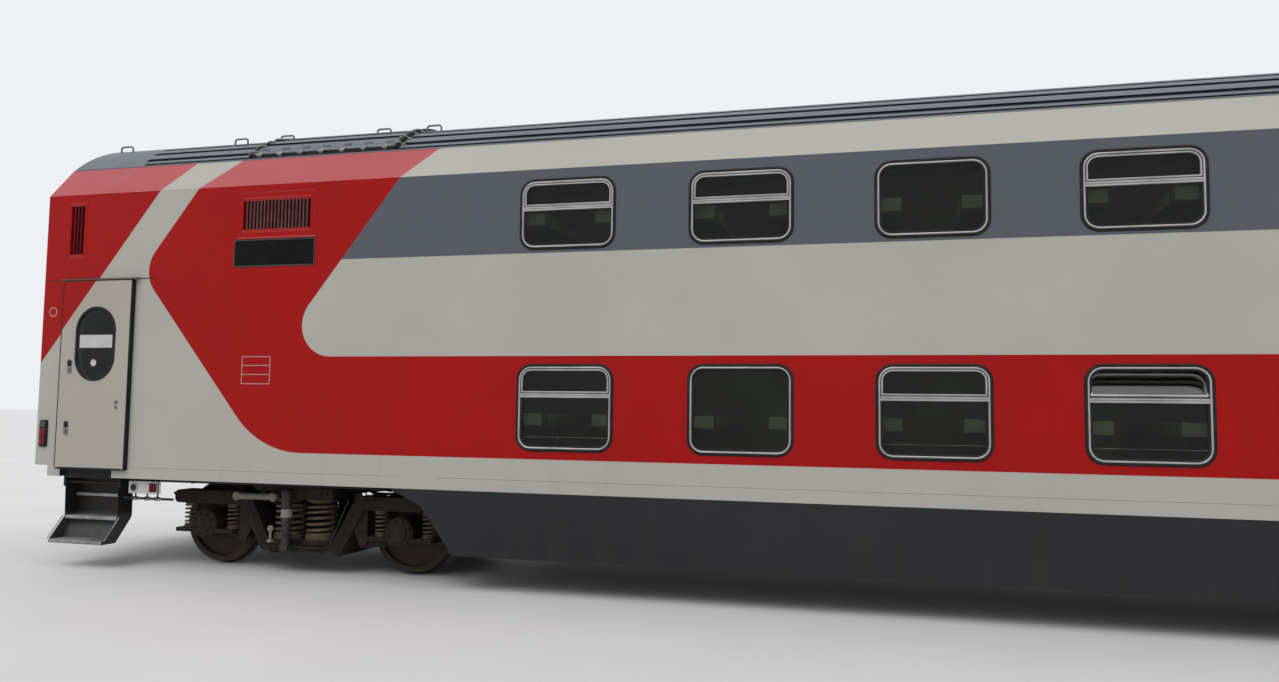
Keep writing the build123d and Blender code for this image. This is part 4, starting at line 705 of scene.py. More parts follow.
def roundCorners(corners, arcSteps=14):
    # straight runs joined by arcs that touch both runs
    points = [np.array(corners[0][:2])]
    for before, here, after in zip(corners, corners[1:], corners[2:]):
        radius = here[2]
        corner = np.array(here[:2])
        if radius == 0:
            points.append(corner)
            continue
        toBefore = np.array(before[:2]) - corner
        toAfter = np.array(after[:2]) - corner
        toBefore /= np.linalg.norm(toBefore)
        toAfter /= np.linalg.norm(toAfter)
        halfAngle = math.acos(np.clip(toBefore @ toAfter, -1, 1)) / 2
        bisector = (toBefore + toAfter) / np.linalg.norm(toBefore + toAfter)
        centre = corner + bisector * radius / math.sin(halfAngle)
        start = corner + toBefore * radius / math.tan(halfAngle) - centre
        stop = corner + toAfter * radius / math.tan(halfAngle) - centre
        sweep = math.atan2(start[0] * stop[1] - start[1] * stop[0], start @ stop)
        angle = np.linspace(0, sweep, arcSteps)
        points.extend(centre + np.stack([start[0] * np.cos(angle) - start[1] * np.sin(angle),
                                         start[0] * np.sin(angle) + start[1] * np.cos(angle)], axis=1))
    points.append(np.array(corners[-1][:2]))
    return np.array(points)


curves = {      # places (x, z) from the gutter down
    "stripeLeft": np.array(livery["stripeLeft"]),
    "stripeRight": roundCorners(livery["stripeRight"]),
    "redRight": roundCorners(livery["redRight"]),
}


def xOnCurve(name, z):
    # where a paint line stands at each height
    curve = curves[name][::-1]
    keep = np.concatenate([[True], np.diff(curve[:, 1]) > 1e-9])
    return np.interp(z, curve[keep, 1], curve[keep, 0])


def paintAt(points):
    # name of the paint at places on the unrolled side; the far end repeats the door end's scheme
    x, z = -np.abs(points[:, 0]), points[:, 1]
    rules = (
        (z < body["sillZ"], "skirt"),
        ((z > livery["stripeLeft"][-1][1]) & (x < xOnCurve("stripeLeft", z)), "red"),
        ((z < livery["redBottom"]) | (x < xOnCurve("stripeRight", z)), "white"),
        ((z < livery["redTop"]) | (x < xOnCurve("redRight", z)), "red"),
        ((livery["bandTop"] < z) & (z < body["foldZ"]), "grey"),
    )
    return np.select([rule for rule, _ in rules], [name for _, name in rules], "white")


def insidePolygon(polygon, points):
    # odd number of edges crossed by a ray towards +x, for each point
    ax, az = np.asarray(polygon, float).T[:, None, :]
    bx, bz = np.roll(ax, -1, axis=1), np.roll(az, -1, axis=1)
    x, z = points[:, :1], points[:, 1:]
    with np.errstate(divide="ignore", invalid="ignore"):
        at = ax + (z - az) * (bx - ax) / (bz - az)
    return np.count_nonzero(((az > z) != (bz > z)) & (x < at), axis=1) % 2 == 1


def cutSheet(outline, holes, lines):
    # a flat sheet in (x, z) as triangles that keep every edge of the outline, the holes and the paint lines
    points, edges = [], []
    for loop, closed in [(outline, True)] + [(hole, True) for hole in holes] + [(line, False) for line in lines]:
        start, count = len(points), len(loop)
        points.extend(Vector((float(x), float(z))) for x, z in loop)
        edges.extend((start + k, start + (k + 1) % count) for k in range(count if closed else count - 1))
    verts, _, faces, _, _, _ = delaunay_2d_cdt(points, edges, [], 0, 1e-6)
    verts = np.array([tuple(v) for v in verts])
    faces = np.array([list(face) for face in faces])
    middles = verts[faces].mean(axis=1)
    keep = insidePolygon(outline, middles)
    for hole in holes:
        keep &= ~insidePolygon(hole, middles)
    return verts, faces[keep], middles[keep]


def onSide(points, lift):
    # (x, z) on the unrolled side becomes a place on the left wall or its slanted shoulder, lifted outwards
    x, z = points[:, 0], points[:, 1]
    rise = body["gutterZ"] - body["foldZ"]
    run = body["halfWidth"] - body["gutterHalfWidth"]
    length = math.hypot(rise, run)
    above = z > body["foldZ"] + 1e-6
    y = body["halfWidth"] - np.clip((z - body["foldZ"]) / rise, 0, None) * run
    return np.stack([x, y + lift * np.where(above, rise / length, 1.0), z + lift * np.where(above, run / length, 0.0)],
                    axis=1)


def cutOut(verts, faces, side):
    # the points that some of a sheet's triangles use, and those triangles turned to look out of the coach
    used, local = np.unique(faces, return_inverse=True)
    return verts[used], local.reshape(faces.shape)[:, ::-side].tolist()


def rectangle(xLow, xHigh, zLow, zHigh):
    return np.array([(xLow, zLow), (xHigh, zLow), (xHigh, zHigh), (xLow, zHigh)])


def windowEdge(x, low, high, inset=0.0):
    half = windows["width"] / 2 - inset
    return roundedOutline(x - half, x + half, low + inset, high - inset, windows["corner"] - inset)


grilles = {
    # place as (x low, x high, z low, z high), its border, what covers it above and below, gaps, slat finish
    "upright": {"place": (-12.492, -12.230, railTop + 3.548, railTop + 4.228), "border": 0.038, "cover": 0.012,
                "gaps": 4, "slats": "redSlat"},
    "row": {"place": (-10.165, -9.140, railTop + 3.710, railTop + 4.240), "border": 0.084, "cover": 0.019,
            "gaps": 19, "slats": "brownSlat"},
    "farRow": {"place": (9.140, 10.165, railTop + 3.710, railTop + 4.240), "border": 0.084, "cover": 0.019,
               "gaps": 19, "slats": "brownSlat"},
}
displayPlace = (-10.180, -9.150, railTop + 3.390, railTop + 3.695)
wallHoles = [windowEdge(x, low, high)[0] for _, low, high, _ in windows["decks"] for x in windowX]
wallHoles += [rectangle(*grille["place"]) for grille in grilles.values()] + [rectangle(*displayPlace)]
notchLow, notchHigh = door["sillNotch"]
doorwayLow, doorwayHigh = door["xLow"] + door["lap"], door["xHigh"] - door["lap"]
endX, cutX, cutZ, sillZ = body["endX"], body["cornerCutX"], body["cornerCutZ"], body["sillZ"]
rimX = endX + body["endRim"]
wallOutline = [
    (-rimX, body["gutterZ"]), (-rimX, cutZ), (-cutX, cutZ), (-cutX, sillZ), (notchLow, sillZ),
    (doorwayLow, door["zHigh"] - door["lap"]), (doorwayHigh, door["zHigh"] - door["lap"]),
    (doorwayHigh, door["zLow"] + door["lap"]), (notchHigh, door["zLow"] + door["lap"]), (notchHigh, sillZ),
    (-body["skirtTopX"], sillZ), (-body["skirtKnee"][0], body["skirtKnee"][1]),
    (-body["skirtBottomX"], body["skirtZ"]), (body["skirtBottomX"], body["skirtZ"]),
    (body["skirtKnee"][0], body["skirtKnee"][1]), (body["skirtTopX"], sillZ), (cutX, sillZ), (cutX, cutZ),
    (rimX, cutZ), (rimX, body["gutterZ"]),
]
beyond = endX + 0.2      # the level paint lines run off both ends of the sheet
paintLines = [[(-beyond, z), (beyond, z)] for z in
              (sillZ, livery["redBottom"], livery["redTop"], livery["bandTop"], body["foldZ"])]
for curve in curves.values():
    paintLines += [curve, curve * [-1, 1]]

sheetVerts, sheetFaces, sheetMiddles = cutSheet(wallOutline, wallHoles, paintLines)
sheetPaint = paintAt(sheetMiddles)
sheetAbove = sheetMiddles[:, 1] > body["foldZ"]
pastFold = 2e-6      # makes the shoulder's lowest points lift along its slope
for sideName, side in sides:
    for paintName in ("red", "white", "grey", "skirt"):
        parts = []
        for above in (False, True):      # the shoulder and the wall each keep their own points at the fold
            chosen = sheetFaces[(sheetPaint == paintName) & (sheetAbove == above)]
            if len(chosen):
                places, faces = cutOut(sheetVerts, chosen, side)
                places = onSide(places + [0, pastFold if above else 0], body["paintLift"])
                parts.append((places * [1, side, 1], faces))
        addMesh(f"paint_{paintName}_{sideName}", parts, finish[paintName], "root", None, False)

# The stripe runs on over the door leaf
leafEdge = roundedOutline(door["xLow"], door["xHigh"], door["zLow"], door["zHigh"], door["corner"])
doorWindowEdge = roundedOutline(door["windowX"] - door["windowWidth"] / 2, door["windowX"] + door["windowWidth"] / 2,
                                door["windowLow"], door["windowHigh"], door["windowWidth"] / 2 - 0.001, 13)
leafLine = curves["stripeLeft"] + [livery["doorShift"], 0]
leafVerts, leafFaces, leafMiddles = cutSheet(leafEdge[0], [doorWindowEdge[0]], [leafLine])
leafRed = leafMiddles[:, 0] < xOnCurve("stripeLeft", leafMiddles[:, 1]) + livery["doorShift"]
for paintName, chosen in (("red", leafFaces[leafRed]), ("door", leafFaces[~leafRed])):
    for sideName, side in sides:
        places, faces = cutOut(leafVerts, chosen, side)
        places = onPlane(places, door["faceY"] + body["paintLift"]) * [1, side, 1]
        addMesh(f"leaf_{paintName}_{sideName}", [(places, faces)], finish[paintName], "root", None, False)
print("sides painted")


# Door: rubber round the leaf and its window, locks with painted shade in their recesses and slots, bare labels

leafGap = door["faceY"] - body["halfWidth"]
leafRubber = [(-0.009, -0.002), (-0.009, 0.0016), (-0.006, 0.0028), (0.003, 0.0024), (0.006, -0.002),
              (0.006, -leafGap + 0.0015), (-0.004, -leafGap + 0.0015), (-0.004, -0.002)]
windowRubber = [(0.004, -0.001), (0.004, 0.003), (0.0, 0.0065), (-0.010, 0.008), (-0.022, 0.005), (-0.029, -0.004),
                (-0.029, -0.010), (-0.001, -0.026)]
doorPane = plate(drawnIn(doorWindowEdge, 0.012), door["glassY"] - door["glassDepth"], door["glassY"], 0.001)
leafBottomBar = boxAt((door["xLow"] + 0.03, door["faceY"] - 0.002, door["zLow"] + 0.001),
                      (door["xHigh"] - 0.03, door["faceY"] + 0.0022, door["zLow"] + 0.017), 0.001)
lock = {
    # half width, lowest and highest edge from the lock's middle, corner radius
    "rim": (0.038, -0.088, 0.088, 0.0375), "recessShade": (0.028, -0.005, 0.078, 0.027),
    "cover": (0.024, -0.074, 0.004, 0.022),
    "slot": (0.006, -0.058, -0.012),      # half width, lowest, highest
    "rimProfile": [(0.0, -0.001), (0.0, 0.003), (-0.003, 0.005), (-0.008, 0.004), (-0.009, -0.001)],
    "rounds": ((0.031, 0.028), (-0.027, 0.024)),      # of the keyhole: height above its middle, radius
    "keySlot": (0.005, 0.013),                        # half width, half height
}


def lockOutline(x, z, part):
    half, low, high, corner = lock[part]
    return roundedOutline(x - half, x + half, z + low, z + high, corner)


doorFittings, doorShades = [], []
faceY = door["faceY"]
slotHalf, slotLow, slotHigh = lock["slot"]
for x, z in door["locks"]:
    doorFittings.append(ring(lockOutline(x, z, "rim"), lock["rimProfile"], faceY))
    # painted shade: a dark plate inside each lock rim stands for the shade in its recess, and a dark bar for the shade
    # in its slot
    doorShades.append(plate(lockOutline(x, z, "recessShade"), faceY - 0.002, faceY + 0.0018))
    doorFittings.append(plate(lockOutline(x, z, "cover"), faceY - 0.002, faceY + 0.0045, 0.0015))
    doorShades.append(boxAt((x - slotHalf, faceY, z + slotLow), (x + slotHalf, faceY + 0.006, z + slotHigh), 0.001))
keyX, keyZ = door["keyhole"]
slotHalf, slotRise = lock["keySlot"]
for rise, radius in lock["rounds"]:
    z = keyZ + rise
    roundProfile = [(-0.001, 0), (-0.001, radius), (0.003, radius), (0.005, 0.8 * radius), (0.005, 0.45 * radius),
                    (0.002, 0.4 * radius), (0.002, 0)]
    doorFittings.append(lathe(roundProfile, (keyX, faceY, z), (0, 1, 0), 20))
    # painted shade: a dark bar stands for the shade in the key slot
    doorShades.append(boxAt((keyX - slotHalf, faceY, z - slotRise),
                          (keyX + slotHalf, faceY + 0.0055, z + slotRise), 0.001))
labelY = (door["glassY"] + 0.0002, door["glassY"] + 0.0012)
doorLabels = [plate(roundedOutline(*door["strip"], 0.006), *labelY), plate(circleOutline(*door["sticker"]), *labelY)]
doorRubber = [ring(leafEdge, leafRubber, faceY), leafBottomBar, ring(doorWindowEdge, windowRubber, faceY)]
addEachSide("door_rubber_and_shades", doorRubber + doorShades, finish["rubber"], 35)
addEachSide("door_locks", doorFittings, finish["lockMetal"], 35)
addEachSide("door_labels", doorLabels, finish["label"])
doorPanes = addMesh("door_panes", onBothSides([doorPane]), finish["glass"], "root")
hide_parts("door_glass")
print("doors fitted")


# Windows: rubber gasket, aluminium rim, transom bar, vent sash, panes and the rod behind them

gasketProfile = [(-0.003, -0.002), (-0.003, 0.008), (0.004, 0.0135), (0.014, 0.0135), (0.023, 0.009), (0.028, 0.0)]
rimProfile = [(-0.001, -0.048), (-0.001, 0.009), (-0.004, 0.0135), (-0.009, 0.0150), (-0.015, 0.0135),
              (-0.0190, 0.009), (-0.0200, 0.002), (-0.0200, -0.048)]
beadProfile = [(-0.019, 0.001), (-0.028, 0.000), (-0.0385, -0.008), (-0.0385, -0.0138), (-0.019, -0.0138)]
sashProfile = [(0.0, -0.018), (0.0, 0.005), (-0.003, 0.0095), (-0.009, 0.0105), (-0.015, 0.0095),
               (-0.018, 0.005), (-0.018, -0.018)]
barProfile = [(0, -0.030), (0, 0.006), (0.003, 0.0105), (0.009, 0.0115), (0.016, 0.0105), (0.020, 0.006),
              (0.0225, 0.005), (0.025, 0.006), (0.028, 0.0115), (0.035, 0.0125), (0.042, 0.0115), (0.045, 0.006),
              (0.045, -0.030)]


def leanIn(shapes, pivotY, pivotZ, angle):
    # turned about a line along the coach, the top going inwards
    sine, cosine = math.sin(angle), math.cos(angle)
    leaning = []
    for verts, faces in shapes:
        y, z = verts[:, 1] - pivotY, verts[:, 2] - pivotZ
        leaning.append((np.stack([verts[:, 0], pivotY + y * cosine - z * sine, pivotZ + y * sine + z * cosine],
                                 axis=1), faces))
    return leaning


def windowPane(xLow, xHigh, zLow, zHigh, corners):
    return plate(roundedOutline(xLow, xHigh, zLow, zHigh, corners), windows["paneInner"], windows["paneOuter"], 0.001)


wallY = body["halfWidth"]
for sideName, side in sides:
    gaskets, rims, panes, openPanes, rods = [], [], [], [], []
    for deck, low, high, transom in windows["decks"]:
        for number, x in enumerate(windowX):
            edge = windowEdge(x, low, high)
            inset = windows["frameWidth"]
            half = windows["width"] / 2 - inset
            corner = windows["corner"] - inset
            gaskets += [ring(edge, gasketProfile, wallY), ring(edge, beadProfile, wallY)]
            rims.append(ring(edge, rimProfile, wallY))
            if (deck, number) in windows["fixed"]:
                panes.append(windowPane(x - half, x + half, low + inset, high - inset, corner))
                continue
            small = windows["paneCorner"]
            panes.append(windowPane(x - half, x + half, low + inset, transom + windows["paneLap"],
                                    (small, small, corner, corner)))
            reach = windows["width"] / 2 - windows["barInset"]
            rims.append(prism((x - reach, wallY, transom), (x + reach, wallY, transom), (0, 0, 1), (0, 1, 0),
                              barProfile))
            sashLow = transom + windows["barHeight"] + windows["barGap"]
            gap = windows["sashGap"]
            sashHalf, sashCorner = windows["width"] / 2 - gap, windows["corner"] - gap
            sash = ring(roundedOutline(x - sashHalf, x + sashHalf, sashLow, high - gap,
                                       (sashCorner, sashCorner, windows["sashCorner"], windows["sashCorner"])),
                        sashProfile, wallY)
            vent = windowPane(x - half, x + half, sashLow + windows["ventLift"], high - inset,
                              (corner, corner, small, small))
            if (sideName, deck, number) == windows["open"]:
                sash, vent = leanIn([sash, vent], windows["paneOuter"], sashLow + windows["hingeLift"],
                                    math.radians(windows["openAngle"]))
                openPanes.append(vent)
            else:
                panes.append(vent)
            rims.append(sash)
            if deck == "lower":
                rodZ = low + windows["rodHeight"]
                rods.append(tube([(x - reach, windows["rodY"], rodZ), (x + reach, windows["rodY"], rodZ)],
                                 windows["rodRadius"], (0, 0, 1), 10))
    addMesh(f"window_gaskets_{sideName}", placed(gaskets, 1, side), finish["rubber"], "root", 40)
    rimPiece = addMesh(f"window_rims_{sideName}", placed(rims, 1, side), finish["aluminium"], "root",
                       40)
    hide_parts(f"window_frames_{sideName}")
    panePiece = addMesh(f"window_panes_{sideName}", placed(panes, 1, side), finish["glass"], "root")
    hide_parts(f"window_glass_{sideName}")
    if openPanes:
        addMesh(f"open_vent_{sideName}", placed(openPanes, 1, side), finish["ventGlass"], "root")
    addMesh(f"window_rods_{sideName}", placed(rods, 1, side), finish["lockMetal"], "root", 40)
print("windows framed")


# Grilles: a raised frame, upright slats and a dark back in each pocket; the display's bezel

grilleParts = {
    "pocketDepth": 0.050,
    "slatPoints": [(-0.0115, -0.004), (-0.0075, 0.0015), (0.0075, 0.0015), (0.0115, -0.004), (0.004, -0.034),
                   (-0.004, -0.034)],
    "ledgeDrop": 0.004, "ledgeReach": 0.020,
    "ledgePoints": [(0, 0), (0.016, -0.004), (0.018, 0.001), (0.010, 0.008), (0, 0.012)],
}
grilleFrames, grilleBacks, grilleSlats = [], [], {"redSlat": [], "brownSlat": []}
for grille in grilles.values():
    xLow, xHigh, zLow, zHigh = grille["place"]
    border = grille["border"]
    flange = [(0.004, 0.0005), (0.003, 0.003), (-0.002, 0.004), (-0.010, 0.004), (-0.014, 0.001),
              (-border + 0.016, 0.001), (-border + 0.012, 0.004), (-border + 0.004, 0.004),
              (-border, 0.001), (-border, -0.046), (-0.002, -0.046), (-0.002, 0.0005)]
    grilleFrames.append(ring(squareOutline(xLow, xHigh, zLow, zHigh), flange, wallY))
    for low, high in ((zLow + border - 0.002, zLow + border + grille["cover"]),
                      (zHigh - border - grille["cover"], zHigh - border + 0.002)):
        grilleFrames.append(boxAt((xLow + border - 0.002, wallY - 0.040, low),
                                  (xHigh - border + 0.002, wallY + 0.0025, high), 0.002))
    pocketY = wallY - grilleParts["pocketDepth"]
    grilleBacks.append(boxAt((xLow + 0.002, pocketY + 0.0005, zLow + 0.002),
                             (xHigh - 0.002, pocketY + 0.006, zHigh - 0.002), 0.001))
    pitch = (xHigh - xLow - 2 * border) / grille["gaps"]
    slatX = xLow + border + pitch * np.arange(1, grille["gaps"])
    slat = prism((0, wallY, zLow + border - 0.004), (0, wallY, zHigh - border + 0.004), (1, 0, 0), (0, 1, 0),
                 grilleParts["slatPoints"])
    grilleSlats[grille["slats"]] += repeated([slat], np.stack([slatX, 0 * slatX, 0 * slatX], axis=1))
for grilleName in ("row", "farRow"):
    xLow, xHigh, zLow, _ = grilles[grilleName]["place"]
    ledgeZ = zLow - grilleParts["ledgeDrop"]
    grilleFrames.append(prism((xLow + grilleParts["ledgeReach"], wallY, ledgeZ),
                              (xHigh + grilleParts["ledgeReach"], wallY, ledgeZ), (0, 1, 0), (0, 0, 1),
                              grilleParts["ledgePoints"]))
framePiece = addMesh("grille_frames", onBothSides(grilleFrames), finish["red"], "root", 35)
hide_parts("vent_grilles")
addMesh("grille_backs", onBothSides(grilleBacks), finish["grilleDark"], "root")
for slatName, shapes in grilleSlats.items():
    addMesh(f"grille_slats_{slatName}", onBothSides(shapes), finish[slatName], "root")
bezelProfile = [(0.003, 0.0), (0.002, 0.008), (-0.008, 0.0095), (-0.013, 0.0065), (-0.013, 0.004), (0.0, 0.0)]
bezel = ring(roundedOutline(*displayPlace, 0.006, 4), bezelProfile, wallY)
addMesh("display_bezels", onBothSides([bezel]), finish["bezel"], "root")
print("grilles slatted")


# Side details: seams, drip rail, gutter, tail lamps, bare marks, the brake plate and its cocks under the sill

details = {
    # x low, x high, z low, z high
    "doorSeam": (-endX, -11.240, railTop + 3.288, railTop + 3.300),
    "sillSeams": ((-11.430, -8.100, railTop + 1.1185, railTop + 1.1225),
                  (-7.60, 12.60, railTop + 1.1185, railTop + 1.1225)),
    "table": (-10.022, -9.655, railTop + 2.080, railTop + 2.388),
    "tableRows": (railTop + 2.187, railTop + 2.287), "tableLine": 0.008,
    "roundMark": (-12.650, railTop + 2.920, 0.058), "roundLine": 0.010,      # x, z, radius
    "dripPoints": [(-0.002, 0.0), (0.052, -0.004), (0.054, 0.004), (0.034, 0.014), (-0.002, 0.018)],
    "gutterPoints": [(-0.006, -0.014), (0.007, -0.017), (0.012, -0.006), (0.009, 0.006), (-0.006, 0.012)],
}


def wallStrip(xLow, xHigh, zLow, zHigh):
    return boxAt((xLow, wallY + 0.0008, zLow), (xHigh, wallY + 0.0024, zHigh), 0.0004)


def lineProfile(width):
    # a painted line just off the wall
    return [(0, 0.0008), (0, 0.0022), (-width, 0.0022), (-width, 0.0008)]


dripZ = door["zHigh"] + 0.010
dripRail = prism((door["xLow"] - 0.05, wallY, dripZ), (door["xHigh"] + 0.07, wallY, dripZ), (0, 1, 0), (0, 0, 1),
                 details["dripPoints"])
tableLow, tableHigh, _, _ = details["table"]
halfLine = details["tableLine"] / 2
marks = [ring(roundedOutline(*details["table"], 0.010, 4), lineProfile(details["tableLine"]), wallY)]
marks += [wallStrip(tableLow, tableHigh, z - halfLine, z + halfLine) for z in details["tableRows"]]
marks.append(ring(circleOutline(*details["roundMark"]), lineProfile(details["roundLine"]), wallY))
gutter = prism((-endX, body["gutterHalfWidth"], body["gutterZ"]), (endX, body["gutterHalfWidth"], body["gutterZ"]),
               (0, 1, 0), (0, 0, 1), details["gutterPoints"])
addEachSide("panel_seams", [wallStrip(*details["doorSeam"])], finish["seam"])
addEachSide("drip_rail", [dripRail], finish["trim"])
addEachSide("sill_seams", [wallStrip(*place) for place in details["sillSeams"]], finish["fineSeam"])
addEachSide("bare_marks", marks, finish["paleMark"])
addEachSide("gutter", [gutter], finish["roof"])

tailLamp = {
    "x": 12.686, "y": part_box("tail_lamps")[1].y, "boxHalf": 0.052, "boxLow": railTop + 1.3295,
    "boxHigh": railTop + 1.6445, "lensHalf": 0.038, "rim": 0.003, "bulge": 0.009,
    "rimProfile": [(0, -0.001), (0, 0.004), (-0.004, 0.004), (-0.004, -0.001)],
    # finish, lower and upper edge above the rail head
    "lenses": (("redLens", 1.350, 1.442), ("redLens", 1.450, 1.552), ("clearLens", 1.560, 1.632)),
}
lenses = {"redLens": [], "clearLens": []}
lampRims, lampBoxes = [], []
lensHalf, rim, boxHalf = tailLamp["lensHalf"], tailLamp["rim"], tailLamp["boxHalf"]
for _, end in ends:
    x = end * tailLamp["x"]
    for lensName, low, high in tailLamp["lenses"]:
        zLow, zHigh = railTop + low, railTop + high
        lenses[lensName].append(dome(roundedOutline(x - lensHalf, x + lensHalf, zLow, zHigh, 0.018),
                                     tailLamp["y"] + 0.0005, tailLamp["bulge"]))
        lampRims.append(ring(roundedOutline(x - lensHalf - rim, x + lensHalf + rim, zLow - rim, zHigh + rim, 0.021),
                             tailLamp["rimProfile"], tailLamp["y"]))
    lampBoxes.append(plate(roundedOutline(x - boxHalf, x + boxHalf, tailLamp["boxLow"], tailLamp["boxHigh"], 0.020),
                           wallY - 0.001, tailLamp["y"] + 0.001, 0.005))
lampPiece = addMesh("lamp_boxes", onBothSides(lampBoxes), finish["rubber"], "root", 40)
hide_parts("tail_lamps")
for lensName, shapes in lenses.items():
    addEachSide(f"tail_{lensName}", shapes, finish[lensName], 60)
addEachSide("lamp_surrounds", lampRims, finish["rubber"])

brake = {
    "plate": (-11.516, -11.083, railTop + 0.824, railTop + 0.962), "plateY": 1.500, "dialX": 0.075,
    "dialProfile": [(0, 0), (0, 0.052), (0.012, 0.052), (0.016, 0.047), (0.013, 0.043), (0.013, 0)],
    "cockX": (-11.46, -11.30, -11.16), "pipeX": (-11.62, -10.95), "pipeY": 1.455, "pipeZ": railTop + 0.765,
    "pipeTop": railTop + 0.996, "leverZ": (railTop + 0.752, railTop + 0.770),
}
plateLow, plateHigh, plateBottom, plateTop = brake["plate"]
plateY, pipeY, pipeZ = brake["plateY"], brake["pipeY"], brake["pipeZ"]
dialX, dialZ = plateLow + brake["dialX"], (plateBottom + plateTop) / 2
brakePlate = [plate(roundedOutline(*brake["plate"], 0.008, 4), plateY, plateY + 0.006, 0.001),
              lathe(brake["dialProfile"], (dialX, plateY + 0.006, dialZ), (0, 1, 0), 28)]
plateDark = [plate(circleOutline(dialX, dialZ, 0.041), plateY + 0.017, plateY + 0.020),
             boxAt((plateHigh - 0.035, plateY + 0.004, plateBottom - 0.01),
                   (plateHigh - 0.022, plateY + 0.012, plateTop), 0.002)]
for x in (plateLow + 0.05, plateHigh - 0.05):      # hangers
    plateDark.append(boxAt((x - 0.015, plateY - 0.010, plateBottom + 0.02),
                           (x + 0.015, plateY + 0.001, sillZ + 0.004), 0.002))
plateDark.append(tube([(x, pipeY, pipeZ) for x in brake["pipeX"]], 0.014, (0, 0, 1), 12))
cockLevers = []
for x in brake["cockX"]:
    plateDark.append(lathe([(-0.03, 0), (-0.03, 0.022), (0.03, 0.022), (0.03, 0)], (x, pipeY, pipeZ), (1, 0, 0), 16))
    plateDark.append(tube([(x, pipeY, pipeZ), (x, pipeY, brake["pipeTop"])], 0.009, (1, 0, 0), 8))
    cockLevers.append(boxAt((x - 0.006, 1.478, brake["leverZ"][0]), (x + 0.075, 1.484, brake["leverZ"][1]), 0.002))
plateRed = [boxAt((plateHigh - 0.150, plateY + 0.004, plateBottom + 0.022),
                  (plateHigh - 0.050, plateY + 0.013, plateTop - 0.018), 0.003)]
addEachSide("brake_plate", brakePlate, finish["label"], 40)
addEachSide("brake_plate_dark", plateDark, finish["chassis"], 40)
addEachSide("brake_plate_red", plateRed, finish["redSlat"])
addEachSide("cock_levers", cockLevers, finish["lockMetal"])
print("sides detailed")


# Roof: dark strips in the grooves and over a hatch as painted shade, rubber at the hatches' ends, toggles over it,
# clips and lugs along their edges

roof = {
    # half width at the groove, half length
    "grooves": ((1.233, endX - 0.97), (1.131, endX - 0.92), (0.960, endX - 0.87), (0.767, endX - 0.82)),
    "grooveHalf": 0.0395, "grooveDepth": 0.022, "underHatch": 2,      # grooves from this one on stop at the hatches
    "hatchX": (8.40, 10.30), "hatchRaise": 0.025, "lugs": 7,
    "skirtY": 1.168, "edgeY": 1.207, "jointY": 1.215, "toggleY": (1.150, 1.010, 0.850, 0.705),
    # profiles: along the roof's slope, out of the roof
    "seal": [(-0.026, 0.024), (-0.026, 0.031), (-0.004, 0.033), (0.006, 0.027), (0.012, 0.006), (0.030, 0.004),
             (0.030, -0.001), (0.0, -0.001), (0.0, 0.024)],
    "skirt": [(-0.040, 0.010), (-0.040, 0.0258), (0.022, 0.0258), (0.028, 0.020), (0.028, 0.0), (0.020, 0.0)],
    "hatchShadeLine": [(-0.022, 0.0255), (-0.022, 0.0272), (0.022, 0.0272), (0.022, 0.0255)],
    "edgeRubber": [(-0.016, -0.001), (0.024, -0.001), (0.024, 0.006), (-0.004, 0.010), (-0.008, 0.024),
                   (-0.016, 0.024)],
}


def onRoof(y, lift=0.0):
    # place and directions on the roof's arc at the half width y: point, along the slope, out of it
    sine = y / body["roofRadius"]
    cosine = math.sqrt(1 - sine ** 2)
    point = np.array([0, sine, cosine]) * (body["roofRadius"] + lift) + [0, 0, body["roofCentreZ"]]
    return point, np.array([0, cosine, -sine]), np.array([0, sine, cosine])


def alongRoof(y, xLow, xHigh, profile, lift=0.0):
    # a profile carried along the coach on the roof's arc
    point, slope, out = onRoof(y, lift)
    return prism(point + [xLow, 0, 0], point + [xHigh, 0, 0], slope, out, profile)


def pinProfile(half, radius):
    return [(-half, 0), (-half, radius), (half, radius), (half, 0)]


half, depth = roof["grooveHalf"], roof["grooveDepth"]
trough = [(-half, 0.0003), (half, 0.0003), (half, depth - 0.002), (half - 0.001, depth - 0.002), (half - 0.001, 0.002),
          (0.001 - half, 0.002), (0.001 - half, depth - 0.002), (-half, depth - 0.002)]
# painted shade: dark strips lie in the grooves, and a dark line carries a groove's shade over the hatches
grooveShades = []
hatchLow, hatchHigh = roof["hatchX"]
for number, (y, reach) in enumerate(roof["grooves"]):
    runs = [(-reach, reach, 0.0)]
    if number >= roof["underHatch"]:
        runs = [(-hatchLow, hatchLow, 0.0), (hatchHigh, reach, 0.0), (-reach, -hatchHigh, 0.0),
                (hatchLow, hatchHigh, roof["hatchRaise"]), (-hatchHigh, -hatchLow, roof["hatchRaise"])]
    grooveShades += [alongRoof(y, start + 0.002, stop - 0.002, trough, lift - depth) for start, stop, lift in runs]
grooveShades.append(alongRoof(roof["grooves"][1][0], hatchLow + 0.03, hatchHigh - 0.03, roof["hatchShadeLine"]))
hatchSkirts = [alongRoof(roof["skirtY"], hatchLow, hatchHigh, roof["skirt"])]

